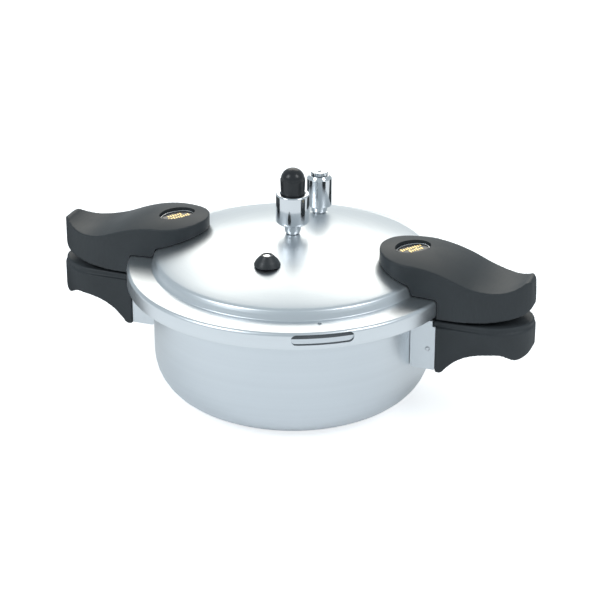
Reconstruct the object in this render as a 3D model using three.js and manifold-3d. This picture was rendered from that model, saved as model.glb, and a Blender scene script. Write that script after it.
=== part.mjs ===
// Stovetop pressure cooker: a shallow aluminium pan with a bayonet lid, two pairs of side handles,
// a pull-off pressure regulator weight, a sprung relief valve and a rubber safety plug.
// Millimetres, +Z up. The origin is the middle of the pan's base, +X runs along the handles.

import * as THREE from 'three';
import { mergeVertices } from 'three/addons/utils/BufferGeometryUtils.js';
import Module from 'manifold-3d';

const wasm = await Module();
wasm.setup();

// ---------- driving dimensions ----------

// clearances
const REST_GAP = 0.3;            // between two pieces that rest on or pass through each other
const SEAT_GAP = 0.5;            // between a piece and the curved lid or pan surface it sits on
const TURN_GAP = 0.6;            // between lugs, handles and skirt, which slide past each other

// facets
const RING_FACETS = 60;          // every large round piece shares these, so that rings stay clear
const FACET_DEG = 360 / RING_FACETS;
const MEDIUM_FACETS = 24;
const SMALL_FACETS = 16;
const RIVET_FACETS = 12;

// pan
const PAN_INNER_R = 111;
const PAN_RIM_Z = 101.3;         // top of the rim, where the sealing ring presses
const PAN_WALL = 3;
const PAN_BASE = 4;
const PAN_CORNER_R = 36;         // outer radius between base and side wall
const PAN_RIM_WIDTH = 6;         // rim flange between the lugs, out from the wall
const PAN_RIM_THICK = 3.3;
const PAN_RIM_FILLET = 2.5;

// bayonet
const LUG_COUNT = 6;
const LUG_HALF_DEG = 12;
const LUG_REACH = 10.6;          // the pan's lugs stand this far out from its rim flange
const LUG_THICK = 2.9;
const LID_LUG_THICK = 3.2;
const LUG_INSET = 0.2;           // a lug stands this far in from the faces of the flange that it grows from

// sealing ring
const RING_THICK = 3.1;
const RING_INSET = 2;            // its inner edge lies this far out from the pan's bore
const RING_SLOT = 1.2;           // pressure slot between the ring's two lips
const RING_SLOT_DEPTH = 7;

// lid
const LID_WALL = 3;
const DOME_EDGE_INSET = 1.4;     // the dome ends this far inside the pan's bore
const DOME_CROWN = 16.7;         // the apex over the edge of the dome
const SHOULDER_RISE = 9.3;       // the edge of the dome over the flange
const SHOULDER_WIDTH = 4.9;      // from the edge of the dome out to the flange
const FLANGE_RISE = 0.8;         // the flange climbs this much towards the shoulder
const SKIRT_EDGE_R = 2.8;        // rounding between flange and skirt

// window in the skirt through which the sealing ring can vent
const WINDOW_DEG = -60;
const WINDOW_LENGTH = 49;
const WINDOW_HEIGHT = 8.4;
const WINDOW_ROOF = 1.5;         // from the top of the window up to the flange
const WINDOW_DEPTH = 9;

// handles
const HANDLE_HALF_WIDTH = 32;
const HANDLE_GAP = 2.8;          // between an upper and a lower handle
const UPPER_GRIP = 67.7;         // from the skirt to the tail
const UPPER_TAPER = 57.5;        // length of the narrowing tail, seen from above
const UPPER_DROP = 1.9;          // the underside lies this far below the skirt
const UPPER_GRIP_HEIGHT = 32;    // of the tail
const UPPER_CROWN = 4.8;         // the top falls off by this much to each side, over the nose
const CROWN_STEPS = 4;           // slices across the crowned top
const NOSE_REACH = 34.4;         // from the edge of the dome in to the nose
const NOSE_RISE = 4.4;           // the nose over the apex of the dome
const LOWER_GRIP = 72.5;         // from the bracket to the tail
const LOWER_TAPER = 37;
const LOWER_DEPTH = 44.3;        // from its top down to its lowest edge
const LOWER_STEP = 4.5;          // height of the step along the top edge of a lower handle
const LOWER_STEP_INSET = 2.5;    // at the sides
const LOWER_STEP_TAIL = 1;       // the same, at the tail
const LOWER_LIP = 2.5;           // the step reaches this far over the bracket

// brackets that hold the lower handles
const BRACKET_REACH = 16.5;      // from the pan's wall
const BRACKET_INSET = 1.4;       // its sides stand this far in from those of the handle
const BRACKET_RISE = 2.2;        // its lower edge over that of the handle
const BRACKET_SHEET = 2;
const BRACKET_CORNER_R = 4;
const PIN_SETBACK = 6;           // from the bracket's outer edge
const PIN_RISE = 17.6;           // from the bracket's lower edge
const PIN_R = 1.3;
const PIN_HEAD_R = 2;
const PIN_HEAD_THICK = 0.6;
const RIVET_R = 2.4;
const RIVET_HEAD_R = 4.6;
const RIVET_HEAD_THICK = 1.6;
const RIVET_RISES = { lower: 10.6, upper: 29.6 };

// lid handle fixing under each badge
const BADGE_SETBACK = 26.3;      // from the nose to the middle of the badge
const BADGE_LONG_R = 15.6;       // half its length
const BADGE_SHORT_R = 10.9;      // half its width
const BADGE_TURN_DEG = 55;       // its long axis against that of the handle, seen from above
const BADGE_THICK = 1.2;
const BADGE_FLOOR = 5;           // from the nose's top down to the floor of the recess
const STUD_R = 6;
const STUD_THREAD_DEPTH = 4.6;
const SCREW_R = 2;
const SCREW_HEAD_R = 4;
const SCREW_HEAD_THICK = 3;
const SCREW_HEAD_ROOM = 0.6;
const SCREW_SEAT_THICK = 2.6;    // handle material under the screw head

// threaded stems that pass through the lid, and what is sized round them
const STEM_R = 5;
const STEM_BELOW_NUT = 0.8;
const NECK_LEDGE = 0.9;          // the foot of a neck covers its hole by this much more than the stem
const NECK_FLARE = 0.75;         // the neck is this much wider than its foot
const WASHER_WIDTH = 3.6;
const WASHER_THICK = 1.5;
const NUT_WIDTH = 3.5;
const NUT_THICK = 4;

// vent pipe and its guard
const VENT_NECK = 9;
const VENT_PIPE = 12;            // pipe above the neck
const VENT_PIPE_R = 4.2;
const VENT_BORE_R = 1.75;
const GUARD_WIDTH = 3;
const GUARD_WALL = 1.1;
const GUARD_HEIGHT = 6.4;
const GUARD_SLOT = 2.4;

// regulator
const WEIGHT_R = 13.6;
const WEIGHT_HEIGHT = 25.7;
const WEIGHT_PLAY = 0.8;         // between its bore and the vent pipe
const WEIGHT_RECESS_DEPTH = 2.6;
const WEIGHT_RIM = 3.5;          // from its side in to the knob
const WEIGHT_EDGE_R = 3;
const KNOB_STEM = 12.4;          // the knob's shoulder over the top of the weight
const KNOB_CROWN = 8.8;
const NEEDLE_SEAT_R = 3.4;
const NEEDLE_SEAT = 2.7;         // height between the pipe and the ceiling of the weight's bore
const NEEDLE_SHANK_R = 2;

// relief valve, on the lid behind the regulator
const RELIEF_Y = 64;
const PAD_RIM = 0.4;             // a seat pressed flat into the dome is this much wider than the washer
const PAD_THICK = 4.2;
const RELIEF_NECK = 6.3;
const RELIEF_SPIGOT = 6.3;
const RELIEF_SPIGOT_LEDGE = 0.5;
const RELIEF_ROOM = 2.1;         // between the spigot and the inside of the housing
const RELIEF_WALL = 2.8;
const RELIEF_HEIGHT = 27;
const RELIEF_FLOOR = 3;
const RELIEF_ROOF = 4.2;
const RELIEF_SHOULDER = 2.4;
const RELIEF_PORT_RISE = 12.5;
const RELIEF_PORT_R = 1.5;
const RELIEF_BORE_R = 2.5;
const CAP_LEDGE = 2;             // the roof of the housing reaches in this far, to the cap's plug
const CAP_WIDTH = 1.65;          // the head of the cap over its plug
const CAP_THICK = 2.9;
const CAP_FLUTES = 8;
const CAP_FLUTE_R = 1.7;
const PLUNGER_PLAY = 2.8;
const PLUNGER_THICK = 2;
const PLUNGER_STEM_R = 1.5;
const PLUNGER_PROUD = 0.5;
const SPRING_PLAY = 3.7;         // from the inside of the housing to the middle of the wire
const SPRING_WIRE_R = 0.55;
const SPRING_TURNS = 5;

// rubber safety plug, on the lid in front of the regulator
const PLUG_Y = -58;
const PLUG_HEAD_R = 10.5;
const PLUG_HEAD = 7.8;
const PLUG_PAD_RIM = 1;
const PLUG_NECK_R = 4.6;
const PLUG_LIP_WIDTH = 2.2;
const PLUG_LIP = 4.4;
const PLUG_PIN_R = 2.6;
const PLUG_PIN_LEDGE = 0.6;
const PLUG_PIN_PROUD = 0.6;

// ---------- sizes that follow ----------

// pan and sealing ring
const PAN_OUTER_R = PAN_INNER_R + PAN_WALL;
const PAN_RIM_R = PAN_OUTER_R + PAN_RIM_WIDTH;
const PAN_LUG_R = PAN_RIM_R + LUG_REACH;
const PAN_LUG_TOP_Z = PAN_RIM_Z - LUG_INSET;
const PAN_LUG_LOW_Z = PAN_LUG_TOP_Z - LUG_THICK;
const RING_LOW_Z = PAN_RIM_Z + REST_GAP;
const RING_INNER_R = PAN_INNER_R + RING_INSET;

// lid
const SKIRT_INNER_R = PAN_LUG_R + 2 * TURN_GAP;
const SKIRT_OUTER_R = SKIRT_INNER_R + LID_WALL;
const RING_OUTER_R = SKIRT_INNER_R - TURN_GAP;
const LID_CEILING_Z = RING_LOW_Z + RING_THICK + REST_GAP;
const FLANGE_Z = LID_CEILING_Z + LID_WALL;
const LID_LUG_R = PAN_RIM_R + 2 * TURN_GAP;
const LID_LUG_TOP_Z = PAN_LUG_LOW_Z - TURN_GAP;
const LID_LUG_LOW_Z = LID_LUG_TOP_Z - LID_LUG_THICK;
const SKIRT_BOTTOM_Z = LID_LUG_LOW_Z - LUG_INSET;
const DOME_EDGE_R = PAN_INNER_R - DOME_EDGE_INSET;
const DOME_APEX_Z = FLANGE_Z + SHOULDER_RISE + DOME_CROWN;
const DOME_R = (DOME_EDGE_R * DOME_EDGE_R + DOME_CROWN * DOME_CROWN) / (2 * DOME_CROWN);
const DOME_CENTRE_Z = DOME_APEX_Z - DOME_R;
const GROOVE_R = DOME_EDGE_R + SHOULDER_WIDTH;
const WINDOW_HIGH_Z = FLANGE_Z - WINDOW_ROOF;
const WINDOW_LOW_Z = WINDOW_HIGH_Z - WINDOW_HEIGHT;

// handles and brackets
const UPPER_TAIL_X = SKIRT_OUTER_R + UPPER_GRIP;
const UPPER_BOTTOM_Z = SKIRT_BOTTOM_Z - UPPER_DROP;
const UPPER_NOSE_X = DOME_EDGE_R - NOSE_REACH;
const UPPER_NOSE_Z = DOME_APEX_Z + NOSE_RISE;
const BRACKET_END_X = PAN_OUTER_R + BRACKET_REACH;
const BRACKET_HALF_WIDTH = HANDLE_HALF_WIDTH - BRACKET_INSET;
const LOWER_TAIL_X = BRACKET_END_X + LOWER_GRIP;
const LOWER_TOP_Z = UPPER_BOTTOM_Z - HANDLE_GAP;
const LOWER_BOTTOM_Z = LOWER_TOP_Z - LOWER_DEPTH;
const BRACKET_BOTTOM_Z = LOWER_BOTTOM_Z + BRACKET_RISE;
const BRACKET_BACK_X = PAN_OUTER_R + REST_GAP + BRACKET_SHEET;
const PIN_X = BRACKET_END_X - PIN_SETBACK;
const PIN_Z = BRACKET_BOTTOM_Z + PIN_RISE;
const TONGUE_HALF_WIDTH = BRACKET_HALF_WIDTH - BRACKET_SHEET - REST_GAP;
const TONGUE_X = BRACKET_BACK_X + REST_GAP + RIVET_HEAD_THICK + REST_GAP;
const TONGUE_MARGIN = 2;         // the tongue is this much lower than the bracket, at top and bottom
const BADGE_X = UPPER_NOSE_X + BADGE_SETBACK;
const BADGE_FLOOR_Z = UPPER_NOSE_Z - BADGE_FLOOR;
const SCREW_TOP_Z = BADGE_FLOOR_Z - SCREW_HEAD_ROOM;
const STUD_TOP_Z = SCREW_TOP_Z - SCREW_HEAD_THICK - SCREW_SEAT_THICK - 2 * REST_GAP;

// stems
const STEM_HOLE_R = STEM_R + REST_GAP;
const NECK_FOOT_R = STEM_R + NECK_LEDGE;
const NECK_TOP_R = NECK_FOOT_R + NECK_FLARE;
const WASHER_R = STEM_R + WASHER_WIDTH;
const NUT_FLATS_R = STEM_R + NUT_WIDTH;
const GUARD_R = STEM_R + GUARD_WIDTH;

// regulator
const VENT_NECK_TOP_Z = DOME_APEX_Z + VENT_NECK;
const VENT_PIPE_TOP_Z = VENT_NECK_TOP_Z + VENT_PIPE;
const WEIGHT_BORE_R = VENT_PIPE_R + WEIGHT_PLAY;
const WEIGHT_BORE_DEPTH = VENT_PIPE + NEEDLE_SEAT;
const WEIGHT_BOTTOM_Z = VENT_NECK_TOP_Z + REST_GAP;
const WEIGHT_TOP_Z = WEIGHT_BOTTOM_Z + WEIGHT_HEIGHT;
const WEIGHT_CEILING_Z = WEIGHT_BOTTOM_Z + WEIGHT_BORE_DEPTH;
const NEEDLE_SHANK = WEIGHT_HEIGHT - WEIGHT_BORE_DEPTH - WEIGHT_RECESS_DEPTH - 1;
const KNOB_R = WEIGHT_R - WEIGHT_RIM;
const KNOB_SHOULDER_Z = WEIGHT_TOP_Z + KNOB_STEM;
const KNOB_TOP_Z = KNOB_SHOULDER_Z + KNOB_CROWN;

// relief valve
const PAD_R = WASHER_R + PAD_RIM;
const RELIEF_PAD_Z = domeZ(RELIEF_Y);
const RELIEF_NECK_TOP_Z = RELIEF_PAD_Z + RELIEF_NECK;
const RELIEF_SPIGOT_R = STEM_R + RELIEF_SPIGOT_LEDGE;
const RELIEF_INNER_R = RELIEF_SPIGOT_R + RELIEF_ROOM;
const RELIEF_HOUSING_R = RELIEF_INNER_R + RELIEF_WALL;
const RELIEF_HOUSING_LOW_Z = RELIEF_NECK_TOP_Z + REST_GAP;
const RELIEF_HOUSING_TOP_Z = RELIEF_HOUSING_LOW_Z + RELIEF_HEIGHT;
const RELIEF_PORT_Z = RELIEF_HOUSING_LOW_Z + RELIEF_PORT_RISE;
const RELIEF_SEAT_Z = RELIEF_NECK_TOP_Z + RELIEF_SPIGOT;
const RELIEF_CEILING_Z = RELIEF_HOUSING_TOP_Z - RELIEF_ROOF;
const PLUNGER_R = RELIEF_INNER_R - PLUNGER_PLAY;
const PLUNGER_LOW_Z = RELIEF_SEAT_Z + REST_GAP;
const SPRING_R = RELIEF_INNER_R - SPRING_PLAY;
const CAP_PLUG_R = RELIEF_INNER_R - CAP_LEDGE;
const CAP_R = CAP_PLUG_R + CAP_WIDTH;
const CAP_TOP_Z = RELIEF_HOUSING_TOP_Z + REST_GAP + CAP_THICK;

// safety plug
const PLUG_PAD_Z = domeZ(PLUG_Y);
const PLUG_PAD_R = PLUG_HEAD_R + PLUG_PAD_RIM;
const PLUG_LIP_R = PLUG_NECK_R + PLUG_LIP_WIDTH;
const PLUG_PIN_HEAD_R = PLUG_PIN_R + PLUG_PIN_LEDGE;

// ---------- materials ----------

function finish(color, roughness, metalness) {
  return new THREE.MeshStandardMaterial({ color, roughness, metalness });
}

const satinAluminium = finish(0xc9d0d6, 0.35, 0.9);
const sheetAluminium = finish(0xb4bcc2, 0.45, 0.9);
const blackBakelite = finish(0x3f4346, 0.45, 0);
const greySilicone = finish(0x55595c, 0.8, 0);
const blackRubber = finish(0x1d1f21, 0.6, 0);
const chromedBrass = finish(0xdfe3e6, 0.12, 1);
const stainlessSteel = finish(0xb9bec3, 0.3, 1);
const blackPlastic = finish(0x26282b, 0.3, 0);
const printedPlate = finish(0x18191b, 0.35, 0.2);

// ---------- solids ----------

// Position-only geometry with shared corners and no collapsed triangle.
function weld(geometry) {
  geometry.deleteAttribute('normal');
  geometry.deleteAttribute('uv');
  const merged = mergeVertices(geometry, 1e-4);
  const corners = merged.index.array;
  const kept = [];
  for (let i = 0; i < corners.length; i += 3) {
    const [a, b, c] = [corners[i], corners[i + 1], corners[i + 2]];
    if (a !== b && b !== c && c !== a) {
      kept.push(a, b, c);
    }
  }
  merged.setIndex(kept);
  return merged;
}

function solid(geometry) {
  const vertProperties = new Float32Array(geometry.attributes.position.array);
  const triVerts = new Uint32Array(geometry.index.array);
  return new wasm.Manifold(new wasm.Mesh({ numProp: 3, vertProperties, triVerts }));
}

function geometryOf(body) {
  const mesh = body.getMesh();
  const geometry = new THREE.BufferGeometry();
  geometry.setAttribute('position', new THREE.BufferAttribute(new Float32Array(mesh.vertProperties), 3));
  geometry.setIndex(Array.from(mesh.triVerts));
  return weld(geometry);
}

function join(geometry, others) {
  return geometryOf(others.reduce((body, other) => body.add(solid(other)), solid(geometry)));
}

function cut(geometry, tools) {
  return geometryOf(tools.reduce((body, tool) => body.subtract(solid(tool)), solid(geometry)));
}

function overlapOf(geometry, other) {
  return geometryOf(solid(geometry).intersect(solid(other)));
}

// Solid of revolution about Z. The profile is a list of [radius, z], anticlockwise with the radius to
// the right; a profile that leaves the axis is closed on itself.
function revolve(profile, facets) {
  const points = profile.map(([r, z]) => new THREE.Vector2(r, z));
  const last = points[points.length - 1];
  if (points[0].x > 0 || last.x > 0) {
    points.push(points[0].clone());
  }
  return weld(new THREE.LatheGeometry(points, facets).rotateX(Math.PI / 2));
}

function arc(centreR, centreZ, radius, fromDeg, toDeg, steps) {
  return Array.from({ length: steps + 1 }, (_, i) => {
    const angle = THREE.MathUtils.degToRad(fromDeg + (toDeg - fromDeg) * i / steps);
    return [centreR + radius * Math.cos(angle), centreZ + radius * Math.sin(angle)];
  });
}

function rod(radius, lowZ, highZ, facets = SMALL_FACETS) {
  return revolve([[0, lowZ], [radius, lowZ], [radius, highZ], [0, highZ]], facets);
}

function tube(innerR, outerR, lowZ, highZ, facets = SMALL_FACETS) {
  return revolve([[innerR, lowZ], [outerR, lowZ], [outerR, highZ], [innerR, highZ]], facets);
}

function block(lowX, highX, halfY, lowZ, highZ) {
  const box = new THREE.BoxGeometry(highX - lowX, 2 * halfY, highZ - lowZ);
  return weld(box.translate((lowX + highX) / 2, 0, (lowZ + highZ) / 2));
}

// A flat outline in X and Y, raised from one height to another.
function raised(shape, lowZ, highZ, curveSegments = 6) {
  const options = { depth: highZ - lowZ, bevelEnabled: false, curveSegments };
  return weld(new THREE.ExtrudeGeometry(shape, options).translate(0, 0, lowZ));
}

// A side outline in X and Z, as thick as the handle is wide.
function sideways(shape, halfWidth, steps = 1, curveSegments = 4) {
  const options = { depth: 2 * halfWidth, bevelEnabled: false, steps, curveSegments };
  const slab = new THREE.ExtrudeGeometry(shape, options);
  return weld(slab.rotateX(Math.PI / 2).translate(0, halfWidth, 0));
}

function alongX(geometry) {
  return geometry.rotateY(Math.PI / 2);
}

function alongY(geometry) {
  return geometry.rotateX(-Math.PI / 2);
}

function ellipse(x, rx, ry, turnDeg = 0) {
  const turn = THREE.MathUtils.degToRad(turnDeg);
  return new THREE.Shape().absellipse(x, 0, rx, ry, 0, 2 * Math.PI, false, turn);
}

// ---------- placing ----------

const cooker = new THREE.Group();

function add(name, geometry, material, holder = cooker) {
  const mesh = new THREE.Mesh(geometry, material);
  mesh.name = name;
  holder.add(mesh);
  return mesh;
}

// Both ends of the cooker are alike: the left one is the right one turned half round.
function endGroup(side) {
  const group = new THREE.Group();
  group.rotation.z = side === 'left' ? Math.PI : 0;
  cooker.add(group);
  return group;
}

function standAt(y) {
  const group = new THREE.Group();
  group.position.set(0, y, 0);
  cooker.add(group);
  return group;
}

// ---------- pan and bayonet ----------

// One lug of the bayonet: a flat ring sector whose corners fall on the facets of the round pieces.
function lug(innerR, outerR, centreDeg, lowZ, highZ) {
  const steps = Math.round(2 * LUG_HALF_DEG / FACET_DEG);
  const from = centreDeg - LUG_HALF_DEG;
  const outer = arc(0, 0, outerR, from, from + 2 * LUG_HALF_DEG, steps);
  const inner = arc(0, 0, innerR, from + 2 * LUG_HALF_DEG, from, steps);
  const outline = [...outer, ...inner].map(([x, y]) => new THREE.Vector2(x, y));
  return raised(new THREE.Shape(outline), lowZ, highZ);
}

function lugs(innerR, outerR, lowZ, highZ) {
  return Array.from({ length: LUG_COUNT }, (_, i) => lug(innerR, outerR, i * 360 / LUG_COUNT, lowZ, highZ));
}

function rivetHoles(radius) {
  return Object.values(RIVET_RISES).map((rise) => {
    const drill = alongX(rod(radius, -2 * PAN_OUTER_R, 2 * PAN_OUTER_R, RIVET_FACETS));
    return drill.translate(0, 0, BRACKET_BOTTOM_Z + rise);
  });
}

function panBody() {
  const cornerR = PAN_OUTER_R - PAN_CORNER_R;
  const innerCornerR = PAN_CORNER_R - PAN_WALL;
  const flangeLowZ = PAN_RIM_Z - PAN_RIM_THICK;
  const profile = [
    [0, 0],
    ...arc(cornerR, PAN_CORNER_R, PAN_CORNER_R, -90, 0, 6),
    [PAN_OUTER_R, flangeLowZ - PAN_RIM_FILLET],
    [PAN_OUTER_R + PAN_RIM_FILLET, flangeLowZ],
    [PAN_RIM_R, flangeLowZ],
    [PAN_RIM_R, PAN_RIM_Z],
    [PAN_INNER_R + 1, PAN_RIM_Z],
    [PAN_INNER_R, PAN_RIM_Z - 1],
    ...arc(cornerR, PAN_BASE + innerCornerR, innerCornerR, 0, -90, 5),
    [0, PAN_BASE],
  ];
  const shell = revolve(profile, RING_FACETS);
  const rimLugs = lugs(PAN_RIM_R - PAN_WALL, PAN_LUG_R, PAN_LUG_LOW_Z, PAN_LUG_TOP_Z);
  return cut(join(shell, rimLugs), rivetHoles(RIVET_R + REST_GAP));
}

// ---------- lower handles ----------

function bracket() {
  const radius = BRACKET_CORNER_R;
  const innerX = Math.sqrt(PAN_OUTER_R * PAN_OUTER_R - BRACKET_HALF_WIDTH * BRACKET_HALF_WIDTH) - 1;
  const lipX = BRACKET_END_X - LOWER_LIP;
  const lipZ = LOWER_TOP_Z - LOWER_STEP - REST_GAP;
  const side = new THREE.Shape();
  side.moveTo(innerX + radius, BRACKET_BOTTOM_Z);
  side.lineTo(BRACKET_END_X, BRACKET_BOTTOM_Z);
  side.lineTo(BRACKET_END_X, lipZ);
  side.lineTo(lipX, lipZ);
  side.lineTo(lipX, LOWER_TOP_Z);
  side.lineTo(innerX, LOWER_TOP_Z);
  side.lineTo(innerX, BRACKET_BOTTOM_Z + radius);
  side.quadraticCurveTo(innerX, BRACKET_BOTTOM_Z, innerX + radius, BRACKET_BOTTOM_Z);
  const panClearance = rod(PAN_OUTER_R + REST_GAP, 0, PAN_RIM_Z, RING_FACETS);
  const channel = block(BRACKET_BACK_X, LOWER_TAIL_X, BRACKET_HALF_WIDTH - BRACKET_SHEET, 0, PAN_RIM_Z);
  const holes = [panClearance, channel, pinHole(), ...rivetHoles(RIVET_R + REST_GAP)];
  return cut(sideways(side, BRACKET_HALF_WIDTH), holes);
}

function pinHole() {
  const length = 2 * HANDLE_HALF_WIDTH;
  return alongY(rod(PIN_R + REST_GAP, -length, length, RIVET_FACETS)).translate(PIN_X, 0, PIN_Z);
}

function handlePin() {
  const headZ = BRACKET_HALF_WIDTH + REST_GAP;
  const endZ = headZ + PIN_HEAD_THICK;
  const half = [[PIN_R, headZ], [PIN_HEAD_R, headZ], [PIN_HEAD_R * 0.7, endZ], [0, endZ]];
  const mirrored = half.map(([r, z]) => [r, -z]).reverse();
  return alongY(revolve([...mirrored, ...half], RIVET_FACETS)).translate(PIN_X, 0, PIN_Z);
}

function panRivet(z) {
  const insideX = PAN_INNER_R - SEAT_GAP - REST_GAP;
  const outsideX = BRACKET_BACK_X + REST_GAP;
  const profile = [
    [0, insideX - RIVET_HEAD_THICK],
    [RIVET_HEAD_R * 0.7, insideX - RIVET_HEAD_THICK],
    [RIVET_HEAD_R, insideX],
    [RIVET_R, insideX],
    [RIVET_R, outsideX],
    [RIVET_HEAD_R, outsideX],
    [RIVET_HEAD_R * 0.8, outsideX + RIVET_HEAD_THICK],
    [0, outsideX + RIVET_HEAD_THICK],
  ];
  return alongX(revolve(profile, RIVET_FACETS)).translate(0, 0, z);
}

// Grip seen from above: straight sides that close in a rounded tail.
function gripPlan(startX, tailX, fullX, waist, halfWidth = HANDLE_HALF_WIDTH) {
  const plan = new THREE.Shape();
  const waistX = fullX + waist * (tailX - fullX);
  plan.moveTo(startX, -halfWidth);
  plan.lineTo(fullX, -halfWidth);
  plan.bezierCurveTo(waistX, -halfWidth, tailX, -halfWidth / 2, tailX, 0);
  plan.bezierCurveTo(tailX, halfWidth / 2, waistX, halfWidth, fullX, halfWidth);
  plan.lineTo(startX, halfWidth);
  return plan;
}

function lowerHandle() {
  const startX = BRACKET_END_X + REST_GAP;
  const lowZ = LOWER_BOTTOM_Z;
  const tailX = LOWER_TAIL_X;
  const ledgeZ = LOWER_TOP_Z - LOWER_STEP;
  const side = new THREE.Shape();
  side.moveTo(startX, lowZ + 1.5);
  side.quadraticCurveTo(startX + 4, lowZ - 1, startX + 7, lowZ + 3);
  side.bezierCurveTo(startX + 17, lowZ + 16, startX + 30, lowZ + 21.6, startX + 47, lowZ + 22);
  side.bezierCurveTo(startX + 56, lowZ + 22, startX + 58, lowZ + 16, tailX - 9, lowZ + 16);
  side.quadraticCurveTo(tailX, lowZ + 17, tailX, lowZ + 27);
  side.lineTo(tailX, ledgeZ);
  side.lineTo(startX, ledgeZ);
  const fullX = tailX - LOWER_TAPER;
  const plan = raised(gripPlan(startX - 1, tailX, fullX, 0.5), 0, PAN_RIM_Z);
  const grip = overlapOf(sideways(side, HANDLE_HALF_WIDTH), plan);
  const inset = LOWER_STEP_INSET;
  const stepHalfWidth = HANDLE_HALF_WIDTH - inset;
  const stepPlan = gripPlan(startX - LOWER_LIP, tailX - LOWER_STEP_TAIL, fullX, 0.5, stepHalfWidth);
  const step = raised(stepPlan, ledgeZ - REST_GAP / 2, LOWER_TOP_Z);
  const tongue = block(TONGUE_X, startX + 4, TONGUE_HALF_WIDTH,
    BRACKET_BOTTOM_Z + TONGUE_MARGIN, LOWER_TOP_Z - TONGUE_MARGIN);
  return cut(join(grip, [step, tongue]), [pinHole()]);
}

// ---------- lid ----------

function domeZ(r, radius = DOME_R) {
  return DOME_CENTRE_Z + Math.sqrt(radius * radius - r * r);
}

// Outside of the lid from its apex down to the bottom of the skirt, moved out by a clearance.
function lidOutside(clearance) {
  const grooveZ = FLANGE_Z + FLANGE_RISE;
  const edgeZ = domeZ(DOME_EDGE_R);
  const outside = [0, 0.25, 0.5, 0.75, 1].map((share) => {
    const r = DOME_EDGE_R * share;
    return [r, domeZ(r) + clearance];
  });
  return [
    ...outside,
    [DOME_EDGE_R + 2 + clearance, edgeZ - 1.2 + clearance],
    [GROOVE_R - 1.6 + clearance, edgeZ - 3.8 + clearance / 2],
    [GROOVE_R + clearance, grooveZ + clearance],
    ...arc(SKIRT_OUTER_R - SKIRT_EDGE_R, FLANGE_Z - SKIRT_EDGE_R, SKIRT_EDGE_R + clearance, 90, 0, 3),
  ];
}

function skirtWindow() {
  const endR = (WINDOW_HIGH_Z - WINDOW_LOW_Z) / 2;
  const half = WINDOW_LENGTH / 2 - endR;
  const slot = new THREE.Shape();
  slot.absarc(half, 0, endR, -Math.PI / 2, Math.PI / 2);
  slot.absarc(-half, 0, endR, Math.PI / 2, 3 * Math.PI / 2);
  const depth = WINDOW_DEPTH + SKIRT_OUTER_R - SKIRT_INNER_R;
  const cutter = raised(slot, SKIRT_INNER_R - WINDOW_DEPTH, SKIRT_INNER_R + depth, 5).rotateX(Math.PI / 2);
  cutter.translate(0, 0, WINDOW_LOW_Z + endR);
  return cutter.rotateZ(THREE.MathUtils.degToRad(WINDOW_DEG + 90));
}

// A seat pressed flat into the dome: metal to add, and what is cleared above and below it.
function seatPad(y, topZ, radius) {
  const lowZ = topZ - PAD_THICK;
  return {
    metal: rod(radius + 1, lowZ, topZ).translate(0, y, 0),
    above: rod(radius, topZ, DOME_APEX_Z + 1).translate(0, y, 0),
    below: rod(radius, FLANGE_Z, lowZ).translate(0, y, 0),
  };
}

function lidShell() {
  const innerR = DOME_R - LID_WALL;
  const underside = [0, 0.25, 0.5, 0.75, 1].map((share) => {
    const r = (DOME_EDGE_R - LID_WALL * 0.8) * share;
    return [r, domeZ(r, innerR)];
  });
  const profile = [
    ...underside,
    [GROOVE_R - LID_WALL, LID_CEILING_Z + 2],
    [GROOVE_R - LID_WALL + 1, LID_CEILING_Z],
    [SKIRT_INNER_R, LID_CEILING_Z],
    [SKIRT_INNER_R, SKIRT_BOTTOM_Z],
    [SKIRT_OUTER_R, SKIRT_BOTTOM_Z],
    ...lidOutside(0).reverse(),
  ];
  const pads = [seatPad(RELIEF_Y, RELIEF_PAD_Z, PAD_R), seatPad(PLUG_Y, PLUG_PAD_Z, PLUG_PAD_R)];
  const skirtLugs = lugs(LID_LUG_R, SKIRT_INNER_R + LID_WALL / 2, LID_LUG_LOW_Z, LID_LUG_TOP_Z);
  const whole = join(revolve(profile, RING_FACETS), [...skirtLugs, ...pads.map((pad) => pad.metal)]);
  const holes = [
    rod(STEM_HOLE_R, FLANGE_Z, DOME_APEX_Z + 1),
    rod(STEM_HOLE_R, FLANGE_Z, DOME_APEX_Z + 1).translate(0, RELIEF_Y, 0),
    rod(PLUG_NECK_R + REST_GAP, FLANGE_Z, DOME_APEX_Z + 1).translate(0, PLUG_Y, 0),
  ];
  return cut(whole, [...pads.flatMap((pad) => [pad.above, pad.below]), ...holes, skirtWindow()]);
}

// All the room that the lid and what is under it take, with the clearance that handles keep.
function lidRoom() {
  return revolve([[0, 0], [SKIRT_OUTER_R + SEAT_GAP, 0], ...lidOutside(SEAT_GAP).reverse()], RING_FACETS);
}

function sealingRing() {
  const highZ = RING_LOW_Z + RING_THICK;
  const slotLow = RING_LOW_Z + (RING_THICK - RING_SLOT) / 2;
  return revolve([
    [RING_INNER_R, RING_LOW_Z],
    [RING_OUTER_R, RING_LOW_Z],
    [RING_OUTER_R, highZ],
    [RING_INNER_R, highZ],
    [RING_INNER_R, slotLow + RING_SLOT],
    [RING_INNER_R + RING_SLOT_DEPTH, slotLow + RING_SLOT],
    [RING_INNER_R + RING_SLOT_DEPTH, slotLow],
    [RING_INNER_R, slotLow],
  ], RING_FACETS);
}

// ---------- upper handles ----------

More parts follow.
